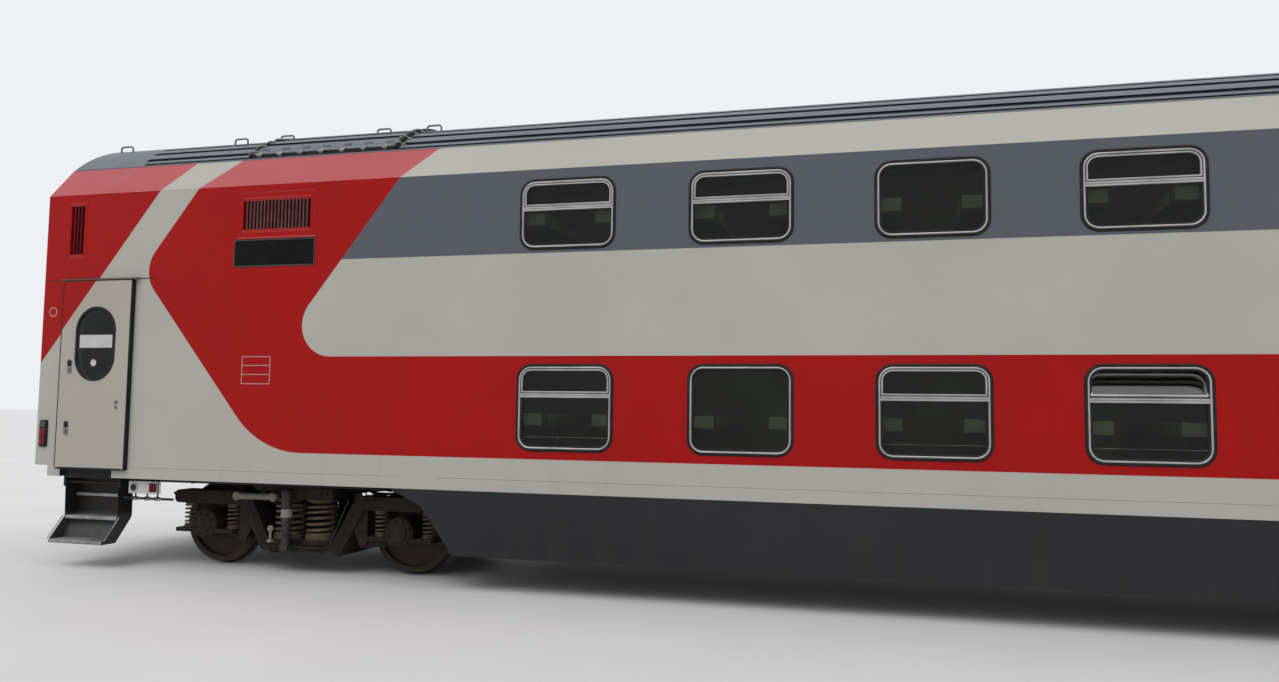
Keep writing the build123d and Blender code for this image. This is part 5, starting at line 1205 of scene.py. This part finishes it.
hatchEnds = ((hatchHigh, 1), (hatchLow, -1))      # place along the coach, the way it faces
arcAngle = np.linspace(-1, 1, 41) * math.asin(roof["jointY"] / body["roofRadius"])
arcOut = np.stack([0 * arcAngle, np.sin(arcAngle), np.cos(arcAngle)], axis=1)
arcPoints = arcOut * body["roofRadius"] + [0, 0, body["roofCentreZ"]]
joints = [carryProfile(arcPoints + [x, 0, 0], (outward, 0, 0), arcOut, roof["seal"], False)
          for x, outward in hatchEnds]
toggle = [boxAt((-0.085, -0.016, 0.024), (-0.030, 0.016, 0.031), 0.003),
          boxAt((0.030, -0.016, 0.0), (0.080, 0.016, 0.008), 0.003),
          tube(bend([(-0.060, 0, 0.033), (0.010, 0, 0.044), (0.062, 0, 0.010)], 0.03), 0.006, (0, 1, 0), 8),
          lathe(pinProfile(0.018, 0.007), (-0.060, 0, 0.033), (0, 1, 0), 10),
          lathe(pinProfile(0.018, 0.007), (0.062, 0, 0.010), (0, 1, 0), 10)]
toggles = []
for y in roof["toggleY"]:
    point, slope, out = onRoof(y)
    for x, outward in hatchEnds:
        toggles += turned(toggle, ((outward, 0, 0), slope, out), point, x)

clip = [boxAt((-0.030, -0.040, 0.022), (0.030, -0.006, 0.036), 0.004),
        boxAt((-0.022, -0.010, 0.004), (0.022, 0.028, 0.034), 0.008),
        lathe(pinProfile(0.032, 0.009), (0, 0.018, 0.034), (1, 0, 0), 10)]
lugPad = [boxAt((-0.052, -0.004, 0.0), (0.052, 0.034, 0.010), 0.003)]
lugPads = [alongRoof(roof["edgeY"], hatchLow, hatchHigh, roof["edgeRubber"])]
clips = []
point, slope, out = onRoof(roof["edgeY"])
for number in range(roof["lugs"]):
    x = hatchLow + (hatchHigh - hatchLow) / roof["lugs"] * (number + 0.5)
    lugPads += turned(lugPad, ((1, 0, 0), slope, out), point, x)
    clips += turned(clip, ((1, 0, 0), slope, out), point, x)
addMesh("roof_groove_shades", onBothSides(grooveShades), finish["roofGrooveShade"], "root")
hatchSeals = [shape for _, end in ends for shape in placed(joints, end)] + atFourCorners(lugPads)
addMesh("hatch_seals", hatchSeals, finish["rubber"], "root", 35)
addMesh("hatch_skirts", atFourCorners(hatchSkirts), finish["roof"], "root")
addMesh("hatch_toggles", atFourCorners(toggles + clips), finish["stepMetal"], "root", 35)
print("roof detailed")


# Ends: pleated bellows with a face frame, handrails, sockets, ribs, the uncoupling rod, rims and the sliding door

gangway = {
    "halfWidth": 0.65, "low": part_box("gangway_b")[0].z + 0.06, "high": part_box("gangway_b")[1].z - 0.06, "corner": 0.22,
    "depth": 0.30, "face": 0.33, "pleats": 5, "pleatRise": 0.058, "wall": 0.105, "bolts": 40, "boltInset": 0.045,
}
t = np.linspace(0, 1, gangway["pleats"] * 12 + 1)
pleatRise = gangway["pleatRise"] * np.abs(np.sin(math.pi * gangway["pleats"] * t)) ** 0.7
pleatProfile = np.concatenate([np.stack([pleatRise, gangway["depth"] * t], axis=1),
                               [(-gangway["wall"], gangway["depth"]), (-gangway["wall"], 0.0)]])
faceProfile = [(-gangway["wall"] - 0.004, gangway["depth"] - 0.004), (-gangway["wall"] - 0.004, gangway["face"]),
               (0.050, gangway["face"]), (0.058, gangway["face"] - 0.008), (0.058, gangway["depth"] - 0.004)]
gangwayEdge = roundedOutline(-gangway["halfWidth"], gangway["halfWidth"], gangway["low"], gangway["high"],
                             gangway["corner"], 12)


def roundGangway(profile):
    # a profile carried round the gangway: (outward from its edge, away from the coach)
    outline, normals = gangwayEdge
    points = np.stack([np.full(len(outline), endX), outline[:, 0], outline[:, 1]], axis=1)
    across = np.stack([0 * normals[:, 0], normals[:, 0], normals[:, 1]], axis=1)
    return carryProfile(points, across, (1, 0, 0), profile)


# bolts at even distances along the edge
closedEdge = np.vstack([gangwayEdge[0], gangwayEdge[0][:1]])
lengths = np.concatenate([[0], np.cumsum(np.linalg.norm(np.diff(closedEdge, axis=0), axis=1))])
boltAt = np.linspace(0, lengths[-1], gangway["bolts"], endpoint=False)
boltLine = drawnIn(gangwayEdge, gangway["boltInset"])[0]
boltLine = np.vstack([boltLine, boltLine[:1]])
boltPlaces = np.stack([np.full(gangway["bolts"], endX + gangway["face"] - 0.006),
                       np.interp(boltAt, lengths, boltLine[:, 0]), np.interp(boltAt, lengths, boltLine[:, 1])], axis=1)
gangwayFace = [roundGangway(faceProfile)] + hexBolts(boltPlaces, (1, 0, 0), 0.009, 0.006)

endFittings = {
    "railY": 1.12, "railLow": 1.55, "railHigh": 3.05, "railReach": 0.075, "railRadius": 0.014, "railBend": 0.04,
    "railFoot": [(-0.001, 0), (-0.001, 0.032), (0.006, 0.032), (0.010, 0.020), (0.010, 0)],
    "socketY": 0.98, "socketZ": 1.34, "socketHalf": 0.085, "socketReach": 0.095,
    "socketCap": [(0.0, 0), (0.0, 0.062), (0.030, 0.062), (0.036, 0.054), (0.036, 0)],
    "ribY": (0.86, 1.02, 1.18, 1.34, 1.48), "ribLow": 1.52, "ribHigh": 4.10,
    "ribPoints": [(-0.030, -0.001), (-0.018, 0.012), (0.018, 0.012), (0.030, -0.001)],
    "rodZ": 1.20, "rodHalf": 1.30, "rodReach": 0.055, "rodRadius": 0.012, "bracketY": (-1.22, -0.55, 0.55, 1.22),
}
railX, rodX = endX + endFittings["railReach"], endX + endFittings["rodReach"]
railLow, railHigh = endFittings["railLow"], endFittings["railHigh"]
socketZ, rodZ = endFittings["socketZ"], endFittings["rodZ"]
endRails, endRibs = [], []
for _, side in sides:
    y = side * endFittings["railY"]
    endRails.append(tube(bend([(endX - 0.002, y, railLow), (railX, y, railLow), (railX, y, railHigh),
                               (endX - 0.002, y, railHigh)], endFittings["railBend"]),
                         endFittings["railRadius"], (0, 1, 0), 12))
    endRails += [lathe(endFittings["railFoot"], (endX, y, z), (1, 0, 0), 16) for z in (railLow, railHigh)]
    y, half = side * endFittings["socketY"], endFittings["socketHalf"]
    endRibs.append(boxAt((endX - 0.001, y - half, socketZ - 0.10),
                         (endX + endFittings["socketReach"], y + half, socketZ + 0.12), 0.012))
    endRails.append(lathe(endFittings["socketCap"], (endX + endFittings["socketReach"] - 0.001, y, socketZ),
                          (1, 0, -0.25), 24))
    endRibs += [prism((endX, side * ribY, endFittings["ribLow"]), (endX, side * ribY, endFittings["ribHigh"]),
                      (0, 1, 0), (1, 0, 0), endFittings["ribPoints"]) for ribY in endFittings["ribY"]]
endRails.append(tube([(rodX, -endFittings["rodHalf"], rodZ), (rodX, endFittings["rodHalf"], rodZ)],
                     endFittings["rodRadius"], (0, 0, 1), 10))
endRibs += [boxAt((endX - 0.001, y - 0.012, rodZ - 0.03), (rodX + 0.016, y + 0.012, rodZ + 0.024), 0.003)
            for y in endFittings["bracketY"]]
rimProfile = [(0.0008, -0.006), (0.0008, body["endRim"] - 0.004), (-0.003, body["endRim"]), (-0.024, body["endRim"]),
              (-0.028, body["endRim"] - 0.004), (-0.028, -0.006)]


def rimAlong(points):
    # the rim's section carried along part of the coach's outline, square to it; mitred at the bends
    points = np.asarray(points, float)
    step = np.diff(points, axis=0)
    normal = np.stack([step[:, 1], -step[:, 0]], axis=1) / np.linalg.norm(step, axis=1)[:, None]
    before, after = np.vstack([normal[:1], normal]), np.vstack([normal, normal[-1:]])
    mitre = (before + after) / (1 + np.sum(before * after, axis=1))[:, None]
    place = np.stack([np.full(len(points), endX), points[:, 0], points[:, 1]], axis=1)
    across = np.stack([0 * mitre[:, 0], mitre[:, 0], mitre[:, 1]], axis=1)
    return carryProfile(place, across, (1, 0, 0), rimProfile, False)


stripeZ = np.interp(rimX, -curves["stripeLeft"][:, 0], curves["stripeLeft"][:, 1])
roofAngle = np.linspace(math.asin(body["gutterHalfWidth"] / body["roofRadius"]), 0, 25)
roofArc = np.stack([np.sin(roofAngle), np.cos(roofAngle)], axis=1) * body["roofRadius"] + [0, body["roofCentreZ"]]
rims = (
    ("white", "body_paint", [(wallY, cutZ), (wallY, stripeZ)]),
    ("red", "body_paint", [(wallY, stripeZ), (wallY, body["foldZ"]), (body["gutterHalfWidth"], body["gutterZ"])]),
    ("roof", "roof_paint", roofArc),
)
for paintName, slotName, points in rims:
    addMesh(f"end_rim_{paintName}", atFourCorners([rimAlong(points)]), finish[paintName], "root", 30)
for endName, end in ends:
    bellows = addMesh(f"bellows_{endName}", placed([roundGangway(pleatProfile)], end), finish["bellows"], "root",
                      50)
    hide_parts(f"gangway_{endName}")
    addMesh(f"gangway_face_{endName}", placed(gangwayFace, end), finish["chassis"], "root", 40)
    addMesh(f"end_rails_{endName}", placed(endRails, end), finish["lockMetal"], "root", 40)
    addMesh(f"end_ribs_{endName}", placed(endRibs, end), finish["end"], "root")

endDoor = {
    "faceX": -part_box("end_door_a")[0].x, "middleZ": railTop + 2.650, "width": 0.420, "height": 0.760, "corner": 0.060,
    "rubber": [(0.0, -0.010), (0.0, -0.0008), (-0.006, 0.0), (-0.018, -0.002), (-0.024, -0.006), (-0.024, -0.010)],
    "pullY": 0.325, "pullZ": railTop + 2.300,
    "pullRim": [(0.0, -0.001), (0.0, 0.0008), (-0.009, 0.0008), (-0.011, -0.001)],
}
faceX, pullY, pullZ = endDoor["faceX"], endDoor["pullY"], endDoor["pullZ"]
halfWidth, halfHeight = endDoor["width"] / 2, endDoor["height"] / 2
doorEdge = roundedOutline(-halfWidth, halfWidth, endDoor["middleZ"] - halfHeight, endDoor["middleZ"] + halfHeight,
                          endDoor["corner"])
endRubber = [ring(doorEdge, endDoor["rubber"], faceX),
             plate(roundedOutline(pullY - 0.018, pullY + 0.018, pullZ - 0.085, pullZ + 0.085, 0.016),
                   faceX - 0.001, faceX + 0.0004)]
endPane = [plate(drawnIn(doorEdge, 0.012), faceX - 0.0095, faceX - 0.006, 0.001)]
endPull = [ring(roundedOutline(pullY - 0.028, pullY + 0.028, pullZ - 0.095, pullZ + 0.095, 0.024),
                endDoor["pullRim"], faceX)]
for endName, end in ends:      # modelled as on a side, so x and y change places
    for pieceName, shapes, finishName, slotName in (("rubber", endRubber, "rubber", "bellows_rubber"),
                                                    ("pane", endPane, "glass", "dark_glass"),
                                                    ("pull", endPull, "lockMetal", "step_metal")):
        swapped = [(verts[:, [1, 0, 2]] * [end, 1, 1], faces) for verts, faces in shapes]
        addMesh(f"end_door_{pieceName}_{endName}", swapped, finish[finishName], f"end_door_{endName}")
print("ends fitted")


# Bogies: coils in cups under tapered pads, axle caps, damper eyes and clamps, pipes; modelled at +x, +y

bogie = {
    "x": 9.5, "journalY": 1.018, "axle": 1.25, "axleZ": railTop + 0.4785, "wheelRadius": 0.4785, "treadY": 0.790,
    "bigOffset": 0.2, "bigRadius": 0.180, "bigCoilRadius": 0.172, "bigWire": 0.0185, "bigTurns": 5.6,
    "cupHeight": 0.060, "padHeight": 0.055, "wing": 0.29, "smallRadius": 0.082, "smallWire": 0.0125, "smallTurns": 5.6,
    "boxFaceY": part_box("axle_boxes_b")[1].y, "capRadius": 0.150, "capBolts": 8, "capBoltCircle": 0.124,
    # dampers, from the bogie's middle along the coach
    "damperY": 1.279, "uprightX": 0.085, "uprightZ": (railTop + 0.300, railTop + 0.865),
    "uprightRings": (0.395, 0.440, 0.760, 0.800), "clampZ": railTop + 0.605,
    "levelX": (0.26, 0.73), "levelRings": (0.36, 0.60), "levelZ": railTop + 0.822,
    "linkX": 0.30, "linkY": 1.255, "linkZ": railTop + 0.470,
    "pipeY": 1.232, "pipeRun": ((0.42, 0.300), (0.50, 0.470), (0.66, 0.845)),      # the corners (x, z) of one half
    # rows of bolts: places on one half, y, z
    "bolts": (((0.88, 0.96, 1.54, 1.62), 1.219, 0.845), ((0.26, 0.34), 1.219, 0.262), ((0.30, 0.38), 1.2185, 0.893)),
}
axleZ, journalY, damperY = bogie["axleZ"], bogie["journalY"], bogie["damperY"]
bigLow, bigHigh = (corner.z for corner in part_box("secondary_springs_a"))
smallLow, smallHigh = (corner.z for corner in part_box("primary_springs_a"))
bigCoils, bigPads, smallCoils, caps, damperParts = [], [], [], [], []
radius, cup = bogie["bigRadius"], bogie["cupHeight"]
cupProfile = [(0, 0), (0, radius - 0.004), (0.006, radius), (cup - 0.006, radius), (cup, radius - 0.003),
              (cup, radius - 0.008), (0.018, radius - 0.008), (0.018, 0.06), (0.05, 0.05), (0.05, 0)]
padProfile = [(0, 0), (0, radius - 0.002), (-0.010, radius), (-0.030, radius - 0.012), (-0.052, radius - 0.060),
              (-0.060, radius - 0.075), (-0.060, 0)]
for offset in (-bogie["bigOffset"], bogie["bigOffset"]):
    place = (bogie["x"] + offset, journalY)
    coilLow, coilHigh = bigLow + cup - 0.022, bigHigh - bogie["padHeight"]
    bigCoils.append(coil((*place, coilLow), bogie["bigCoilRadius"] - bogie["bigWire"], bogie["bigWire"],
                         coilHigh - coilLow, bogie["bigTurns"]))
    bigPads.append(lathe(cupProfile, (*place, bigLow), (0, 0, 1), 48))
    bigPads.append(lathe(padProfile, (*place, bigHigh), (0, 0, 1), 48))

radius = bogie["smallRadius"]
seatProfile = [(0, 0), (0, radius), (0.014, radius), (0.018, radius - 0.006), (0.018, 0)]
crownProfile = [(0, 0), (0, radius), (-0.012, radius), (-0.016, radius - 0.006), (-0.016, 0)]
capProfile = [(-0.002, 0), (-0.002, bogie["capRadius"]), (0.010, bogie["capRadius"]), (0.014, 0.144), (0.014, 0.105),
              (0.026, 0.098), (0.032, 0.080), (0.032, 0.030), (0.038, 0.026), (0.038, 0)]
for axle in (-bogie["axle"], bogie["axle"]):
    axleX = bogie["x"] + axle
    for wing in (-bogie["wing"], bogie["wing"]):
        place = (axleX + wing, journalY)
        smallCoils.append(coil((*place, smallLow + 0.012), radius - bogie["smallWire"], bogie["smallWire"],
                               smallHigh - smallLow - 0.022, bogie["smallTurns"], 0.7, 22, 8))
        smallCoils.append(lathe(seatProfile, (*place, smallLow), (0, 0, 1), 32))
        smallCoils.append(lathe(crownProfile, (*place, smallHigh), (0, 0, 1), 32))
    caps.append(lathe(capProfile, (axleX, bogie["boxFaceY"], axleZ), (0, 1, 0), 40))
    angle = 2 * math.pi * (np.arange(bogie["capBolts"]) + 0.5) / bogie["capBolts"]
    boltPlaces = np.stack([axleX + bogie["capBoltCircle"] * np.cos(angle),
                           np.full(len(angle), bogie["boxFaceY"] + 0.014),
                           axleZ + bogie["capBoltCircle"] * np.sin(angle)], axis=1)
    caps += hexBolts(boltPlaces, (0, 1, 0), 0.013, 0.014)


def eye(x, y, z, radius, hole, width):
    # a ring with rounded edges and a bolt through it
    half = width / 2
    return [lathe([(-half, hole), (-half, radius - 0.006), (-half + 0.006, radius), (half - 0.006, radius),
                   (half, radius - 0.006), (half, hole)], (x, y, z), (0, 1, 0), 28, True),
            lathe([(-half - 0.008, 0), (-half - 0.008, hole * 0.8), (half + 0.010, hole * 0.8), (half + 0.010, 0)],
                  (x, y, z), (0, 1, 0), 6)]


def collar(inner, outer, length, place, axis, steps):
    # a flat ring round a rod
    return lathe([(0, inner), (0, outer), (length, outer), (length, inner)], place, axis, steps, True)


uprightX = bogie["x"] + bogie["uprightX"]
for z in bogie["uprightZ"]:
    damperParts += eye(uprightX, damperY, z, 0.046, 0.018, 0.072)
for z in bogie["uprightRings"]:
    damperParts.append(collar(0.040, 0.058, 0.010, (uprightX, damperY, railTop + z), (0, 0, 1), 32))
for x in bogie["levelX"]:
    damperParts += eye(bogie["x"] + x, damperY, bogie["levelZ"], 0.050, 0.020, 0.060)
for x in bogie["levelRings"]:
    damperParts.append(collar(0.030, 0.044, 0.012, (bogie["x"] + x, damperY, bogie["levelZ"]), (1, 0, 0), 28))
clampProfile = [(0, 0.050), (0, 0.060), (0.006, 0.0625), (0.083, 0.0625), (0.089, 0.060), (0.089, 0.050)]
clamps = [lathe(clampProfile, (uprightX, damperY, bogie["clampZ"]), (0, 0, 1), 32, True)]
linkX, linkY, linkZ = bogie["x"] + bogie["linkX"], bogie["linkY"], bogie["linkZ"]
clamps += eye(linkX, linkY, linkZ, 0.034, 0.014, 0.040)
clamps.append(tube([(linkX, linkY, linkZ - 0.030), (linkX, linkY, linkZ - 0.130)], 0.014, (1, 0, 0), 12))
clamps.append(boxAt((linkX - 0.030, linkY - 0.033, linkZ - 0.152),
                    (linkX + 0.030, linkY + 0.030, linkZ - 0.125), 0.004))
pipeRun = [(sign * x, z) for sign, half in ((-1, bogie["pipeRun"][::-1]), (1, bogie["pipeRun"])) for x, z in half]
pipes = [tube(bend([(bogie["x"] + x, bogie["pipeY"], z) for x, z in pipeRun], 0.06), 0.010, (0, 1, 0), 10)]
boltPlaces = [(bogie["x"] + sign * x, y, z) for row, y, z in bogie["bolts"] for sign in (-1, 1) for x in row]
bolts = hexBolts(np.array(boltPlaces), (0, 1, 0), 0.014, 0.014)
radius = bogie["wheelRadius"]
treadProfile = [(-0.030, radius - 0.004), (-0.030, radius + 0.0006), (0.034, radius - 0.0006),
                (0.034, radius - 0.004)]
for endName, end in ends:
    bodyName = f"bogie_{endName}"
    bigPiece = addMesh(f"big_coils_{endName}", onBothSides(bigCoils, end), finish["spring"], bodyName,
                       60)
    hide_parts(f"secondary_springs_{endName}")
    smallPiece = addMesh(f"small_coils_{endName}", onBothSides(smallCoils, end), finish["spring"], bodyName,
                         60)
    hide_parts(f"primary_springs_{endName}")
    for pieceName, shapes, finishName, slotName, smoothAngle in (
            ("spring_pads", bigPads, "springPad", "spring_steel", 40),
            ("axle_caps", caps, "bogieIron", "bogie_iron", 40),
            ("damper_eyes", damperParts, "damper", "damper_paint", 40),
            ("damper_clamps", clamps, "clamp", "damper_paint", 40),
            ("bogie_pipes", pipes, "hoseBlack", "bogie_iron", 40),
            ("bogie_bolts", bolts, "bogieIron", "bogie_iron", None)):
        addMesh(f"{pieceName}_{endName}", onBothSides(shapes, end), finish[finishName], bodyName, smoothAngle)
    for number, axle in ((1, -1), (2, 1)):
        x = end * bogie["x"] + axle * bogie["axle"]
        treads = [lathe(treadProfile, (x, side * bogie["treadY"], axleZ), (0, side, 0), 96, True) for _, side in sides]
        addMesh(f"treads_{endName}{number}", treads, finish["tread"], f"wheelset_{endName}{number}", 40)
print("bogies detailed")


# Steps: raised studs and nosings on the treads, the well they fold into; box lids and pipes under the floor

steps = {
    "xLow": -12.40, "xHigh": -11.69, "columns": 22, "rows": 5, "depth": 0.150, "stud": 0.0095, "rise": 0.006,
    "treads": ((1.390, railTop + 0.535), (1.595, railTop + 0.285)),      # middle |y| and top
    "nosing": [(-0.004, -0.030), (0.003, -0.030), (0.005, -0.004), (0.002, 0.004), (-0.008, 0.004), (-0.010, 0.0),
               (-0.004, -0.001)], "nosingY": 0.095,
    "topEdge": [(-0.003, -0.016), (0.003, -0.016), (0.004, 0.016), (-0.012, 0.0195), (-0.003, 0.014)],
    "topEdgeY": 1.331, "topEdgeZ": railTop + 0.772,
    # the bright edge of each side plate: from, to, out of the plate's edge, section
    "cheekFrom": (1.486, railTop + 0.537), "cheekTo": (1.690, railTop + 0.290), "cheekOut": (0, 0.77, 0.64),
    "cheek": [(-0.006, -0.003), (0.006, -0.003), (0.006, 0.004), (-0.006, 0.004)], "cheekX": 0.043,
    # the well's front and back: y from, to, z from, to
    "apron": (1.496, 1.506, railTop + 0.975, railTop + 1.192),
    "backPanel": (1.150, 1.162, railTop + 1.008, railTop + 1.182),
}
xLow, xHigh, radius, rise = steps["xLow"], steps["xHigh"], steps["stud"], steps["rise"]
studX = np.linspace(xLow + 0.02, xHigh - 0.02, steps["columns"])
stud = lathe([(-0.001, radius), (rise * 0.6, radius), (rise, radius * 0.72), (rise * 0.3, radius * 0.45),
              (-0.001, radius * 0.45)], (0, 0, 0), (0, 0, 1), 8, True)
studs, nosings = [], []
strips = [(steps["topEdgeY"], steps["topEdgeZ"], 0.02, "topEdge")]      # y, z, reach past the ends, section
for middleY, topZ in steps["treads"]:
    studY = middleY + np.linspace(-0.5, 0.5, steps["rows"]) * steps["depth"]
    gridX, gridY = np.meshgrid(studX, studY)
    studs += repeated([stud], np.stack([gridX.ravel(), gridY.ravel(), np.full(gridX.size, topZ)], axis=1))
    strips.append((middleY + steps["nosingY"], topZ, 0.008, "nosing"))
for y, z, reach, section in strips:
    nosings.append(prism((xLow - reach, y, z), (xHigh + reach, y, z), (0, 1, 0), (0, 0, 1), steps[section]))
for x in (xLow - steps["cheekX"], xHigh + steps["cheekX"]):
    nosings.append(prism((x, *steps["cheekFrom"]), (x, *steps["cheekTo"]), (1, 0, 0), steps["cheekOut"],
                         steps["cheek"]))
stepWell = []
for start, stop, partName in ((notchLow + 0.002, notchHigh - 0.002, "apron"),
                              (-endX + 0.09, notchHigh + 0.06, "backPanel")):
    yLow, yHigh, zLow, zHigh = steps[partName]
    stepWell.append(boxAt((start, yLow, zLow), (stop, yHigh, zHigh), 0.002))
addMesh("step_wells", onBothSides(stepWell), finish["chassis"], "root")
for sideName, side in sides:
    for pieceName, shapes in (("tread_studs", studs), ("tread_nosings", nosings)):
        addMesh(f"{pieceName}_{sideName}", placed(shapes, 1, side), finish["stepMetal"], f"entry_steps_{sideName}")

lids = {
    "xLow": 11.60, "xHigh": 12.50, "y": 1.33, "zLow": railTop + 0.660, "zHigh": railTop + 1.180,
    "rim": [(0, -0.001), (0, 0.008), (-0.006, 0.014), (-0.030, 0.014), (-0.036, 0.006), (-0.036, -0.001)],
    "latchX": 0.10, "latchHalf": 0.018, "hingeHalf": 0.035, "hingeRadius": 0.010,
}
middleX, half = (lids["xLow"] + lids["xHigh"]) / 2, lids["latchHalf"]
lidShapes, latchShapes = [], []
for low, high in ((lids["xLow"] + 0.03, middleX - 0.015), (middleX + 0.015, lids["xHigh"] - 0.03)):
    lidShapes.append(ring(roundedOutline(low, high, lids["zLow"] + 0.04, lids["zHigh"] - 0.03, 0.03), lids["rim"],
                          lids["y"]))
    for x in (low + lids["latchX"], high - lids["latchX"]):
        latchShapes.append(boxAt((x - half, lids["y"], lids["zLow"] + 0.030),
                                 (x + half, lids["y"] + 0.022, lids["zLow"] + 0.110), 0.004))
        latchShapes.append(lathe(pinProfile(lids["hingeHalf"], lids["hingeRadius"]),
                                 (x, lids["y"] + 0.010, lids["zHigh"] - 0.030), (1, 0, 0), 12))
addMesh("box_lids", onBothSides(lidShapes), finish["chassis"], "root")
addMesh("box_latches", onBothSides(latchShapes), finish["lockMetal"], "root", 40)

sillPipes = {
    "xLow": 8.30, "xHigh": 11.55,
    "runs": ((1.440, railTop + 0.972, 0.013), (1.405, railTop + 0.975, 0.010)),      # y, z, radius
    "clampX": (8.5, 11.5, 0.55), "clampY": (1.390, 1.460), "clampZ": (railTop + 0.955, railTop + 0.999),
}
clampY, clampZ = sillPipes["clampY"], sillPipes["clampZ"]
runPipes = []
for _, end in ends:
    xLow, xHigh = end * sillPipes["xLow"], end * sillPipes["xHigh"]
    runPipes += [tube([(xLow, y, z), (xHigh, y, z)], radius, (0, 0, 1), 10) for y, z, radius in sillPipes["runs"]]
    for x in np.arange(*sillPipes["clampX"]):
        runPipes.append(boxAt((end * x - 0.012, clampY[0], clampZ[0]), (end * x + 0.012, clampY[1], clampZ[1]), 0.002))
addMesh("sill_pipes", onBothSides(runPipes), finish["chassis"], "root", 40)
print("steps and boxes detailed")


# Stage, light and camera

studio = {
    "floorSize": 400.0, "floorDrop": 0.0005,
    "skyHeights": (-0.1, 0.8), "skyLevels": (0.42, 0.95),      # light from the horizon and from above
    "skyColour": (1.0, 1.0, 1.02), "backdrop": (0.86, 0.88, 0.90),
    "sunStrength": 0.9, "sunSpread": 35, "sunTilt": (38, -12),
}
bpy.ops.mesh.primitive_plane_add(size=studio["floorSize"], location=(0, 0, -studio["floorDrop"]))
studioFloor = bpy.context.object
studioFloor.name = "studio_floor"
studioFloor.data.materials.append(finish["floor"])

world = bpy.data.worlds.new("softStudio")
bpy.context.scene.world = world
world.use_nodes = True
tree = world.node_tree
tree.nodes.clear()
worldOutput = tree.nodes.new("ShaderNodeOutputWorld")
coordinates = tree.nodes.new("ShaderNodeTexCoord")
separate = tree.nodes.new("ShaderNodeSeparateXYZ")
tree.links.new(coordinates.outputs["Generated"], separate.inputs["Vector"])
skyLevel = ramp(tree, separate.outputs["Z"], *studio["skyHeights"], *studio["skyLevels"])
skyColour = mixColour(tree, skyLevel, (0.0, 0.0, 0.0), studio["skyColour"])
skyLight = tree.nodes.new("ShaderNodeBackground")
tree.links.new(skyColour, skyLight.inputs["Color"])
paleBack = tree.nodes.new("ShaderNodeBackground")      # what the camera, metal and glass see
paleBack.inputs["Color"].default_value = (*studio["backdrop"], 1.0)
paths = tree.nodes.new("ShaderNodeLightPath")
seen = combine(tree, paths.outputs["Is Camera Ray"], paths.outputs["Is Glossy Ray"], "MAXIMUM")
seen = combine(tree, seen, paths.outputs["Is Transmission Ray"], "MAXIMUM")
choose = tree.nodes.new("ShaderNodeMixShader")
tree.links.new(seen, choose.inputs["Fac"])
tree.links.new(skyLight.outputs["Background"], choose.inputs[1])
tree.links.new(paleBack.outputs["Background"], choose.inputs[2])
tree.links.new(choose.outputs["Shader"], worldOutput.inputs["Surface"])

sunData = bpy.data.lights.new("softSun", "SUN")
sunData.energy = studio["sunStrength"]
sunData.angle = math.radians(studio["sunSpread"])
sun = bpy.data.objects.new("softSun", sunData)
sun.rotation_euler = (*(math.radians(angle) for angle in studio["sunTilt"]), 0)
bpy.context.scene.collection.objects.link(sun)

yaw, pitch, roll = (math.radians(camera[key]) for key in ("yaw", "pitch", "roll"))
forward = Vector((-math.sin(yaw) * math.cos(pitch), math.cos(yaw) * math.cos(pitch), math.sin(pitch)))
levelRight = Vector((math.cos(yaw), math.sin(yaw), 0.0))
levelUp = levelRight.cross(forward)
right = levelRight * math.cos(roll) + levelUp * math.sin(roll)
up = levelUp * math.cos(roll) - levelRight * math.sin(roll)
cameraData = bpy.data.cameras.new("photoCamera")
cameraData.sensor_width = camera["sensor"]
cameraData.lens = camera["focalPixels"] / camera["pictureWidth"] * camera["sensor"]
cameraData.clip_end = 500.0
photoCamera = bpy.data.objects.new("photoCamera", cameraData)
turn = Matrix((right, up, -forward)).transposed().to_4x4()
photoCamera.matrix_world = Matrix.Translation(camera["place"]) @ turn
bpy.context.scene.collection.objects.link(photoCamera)
bpy.context.scene.camera = photoCamera
bpy.context.scene.view_settings.view_transform = "Standard"
print("stage lit")
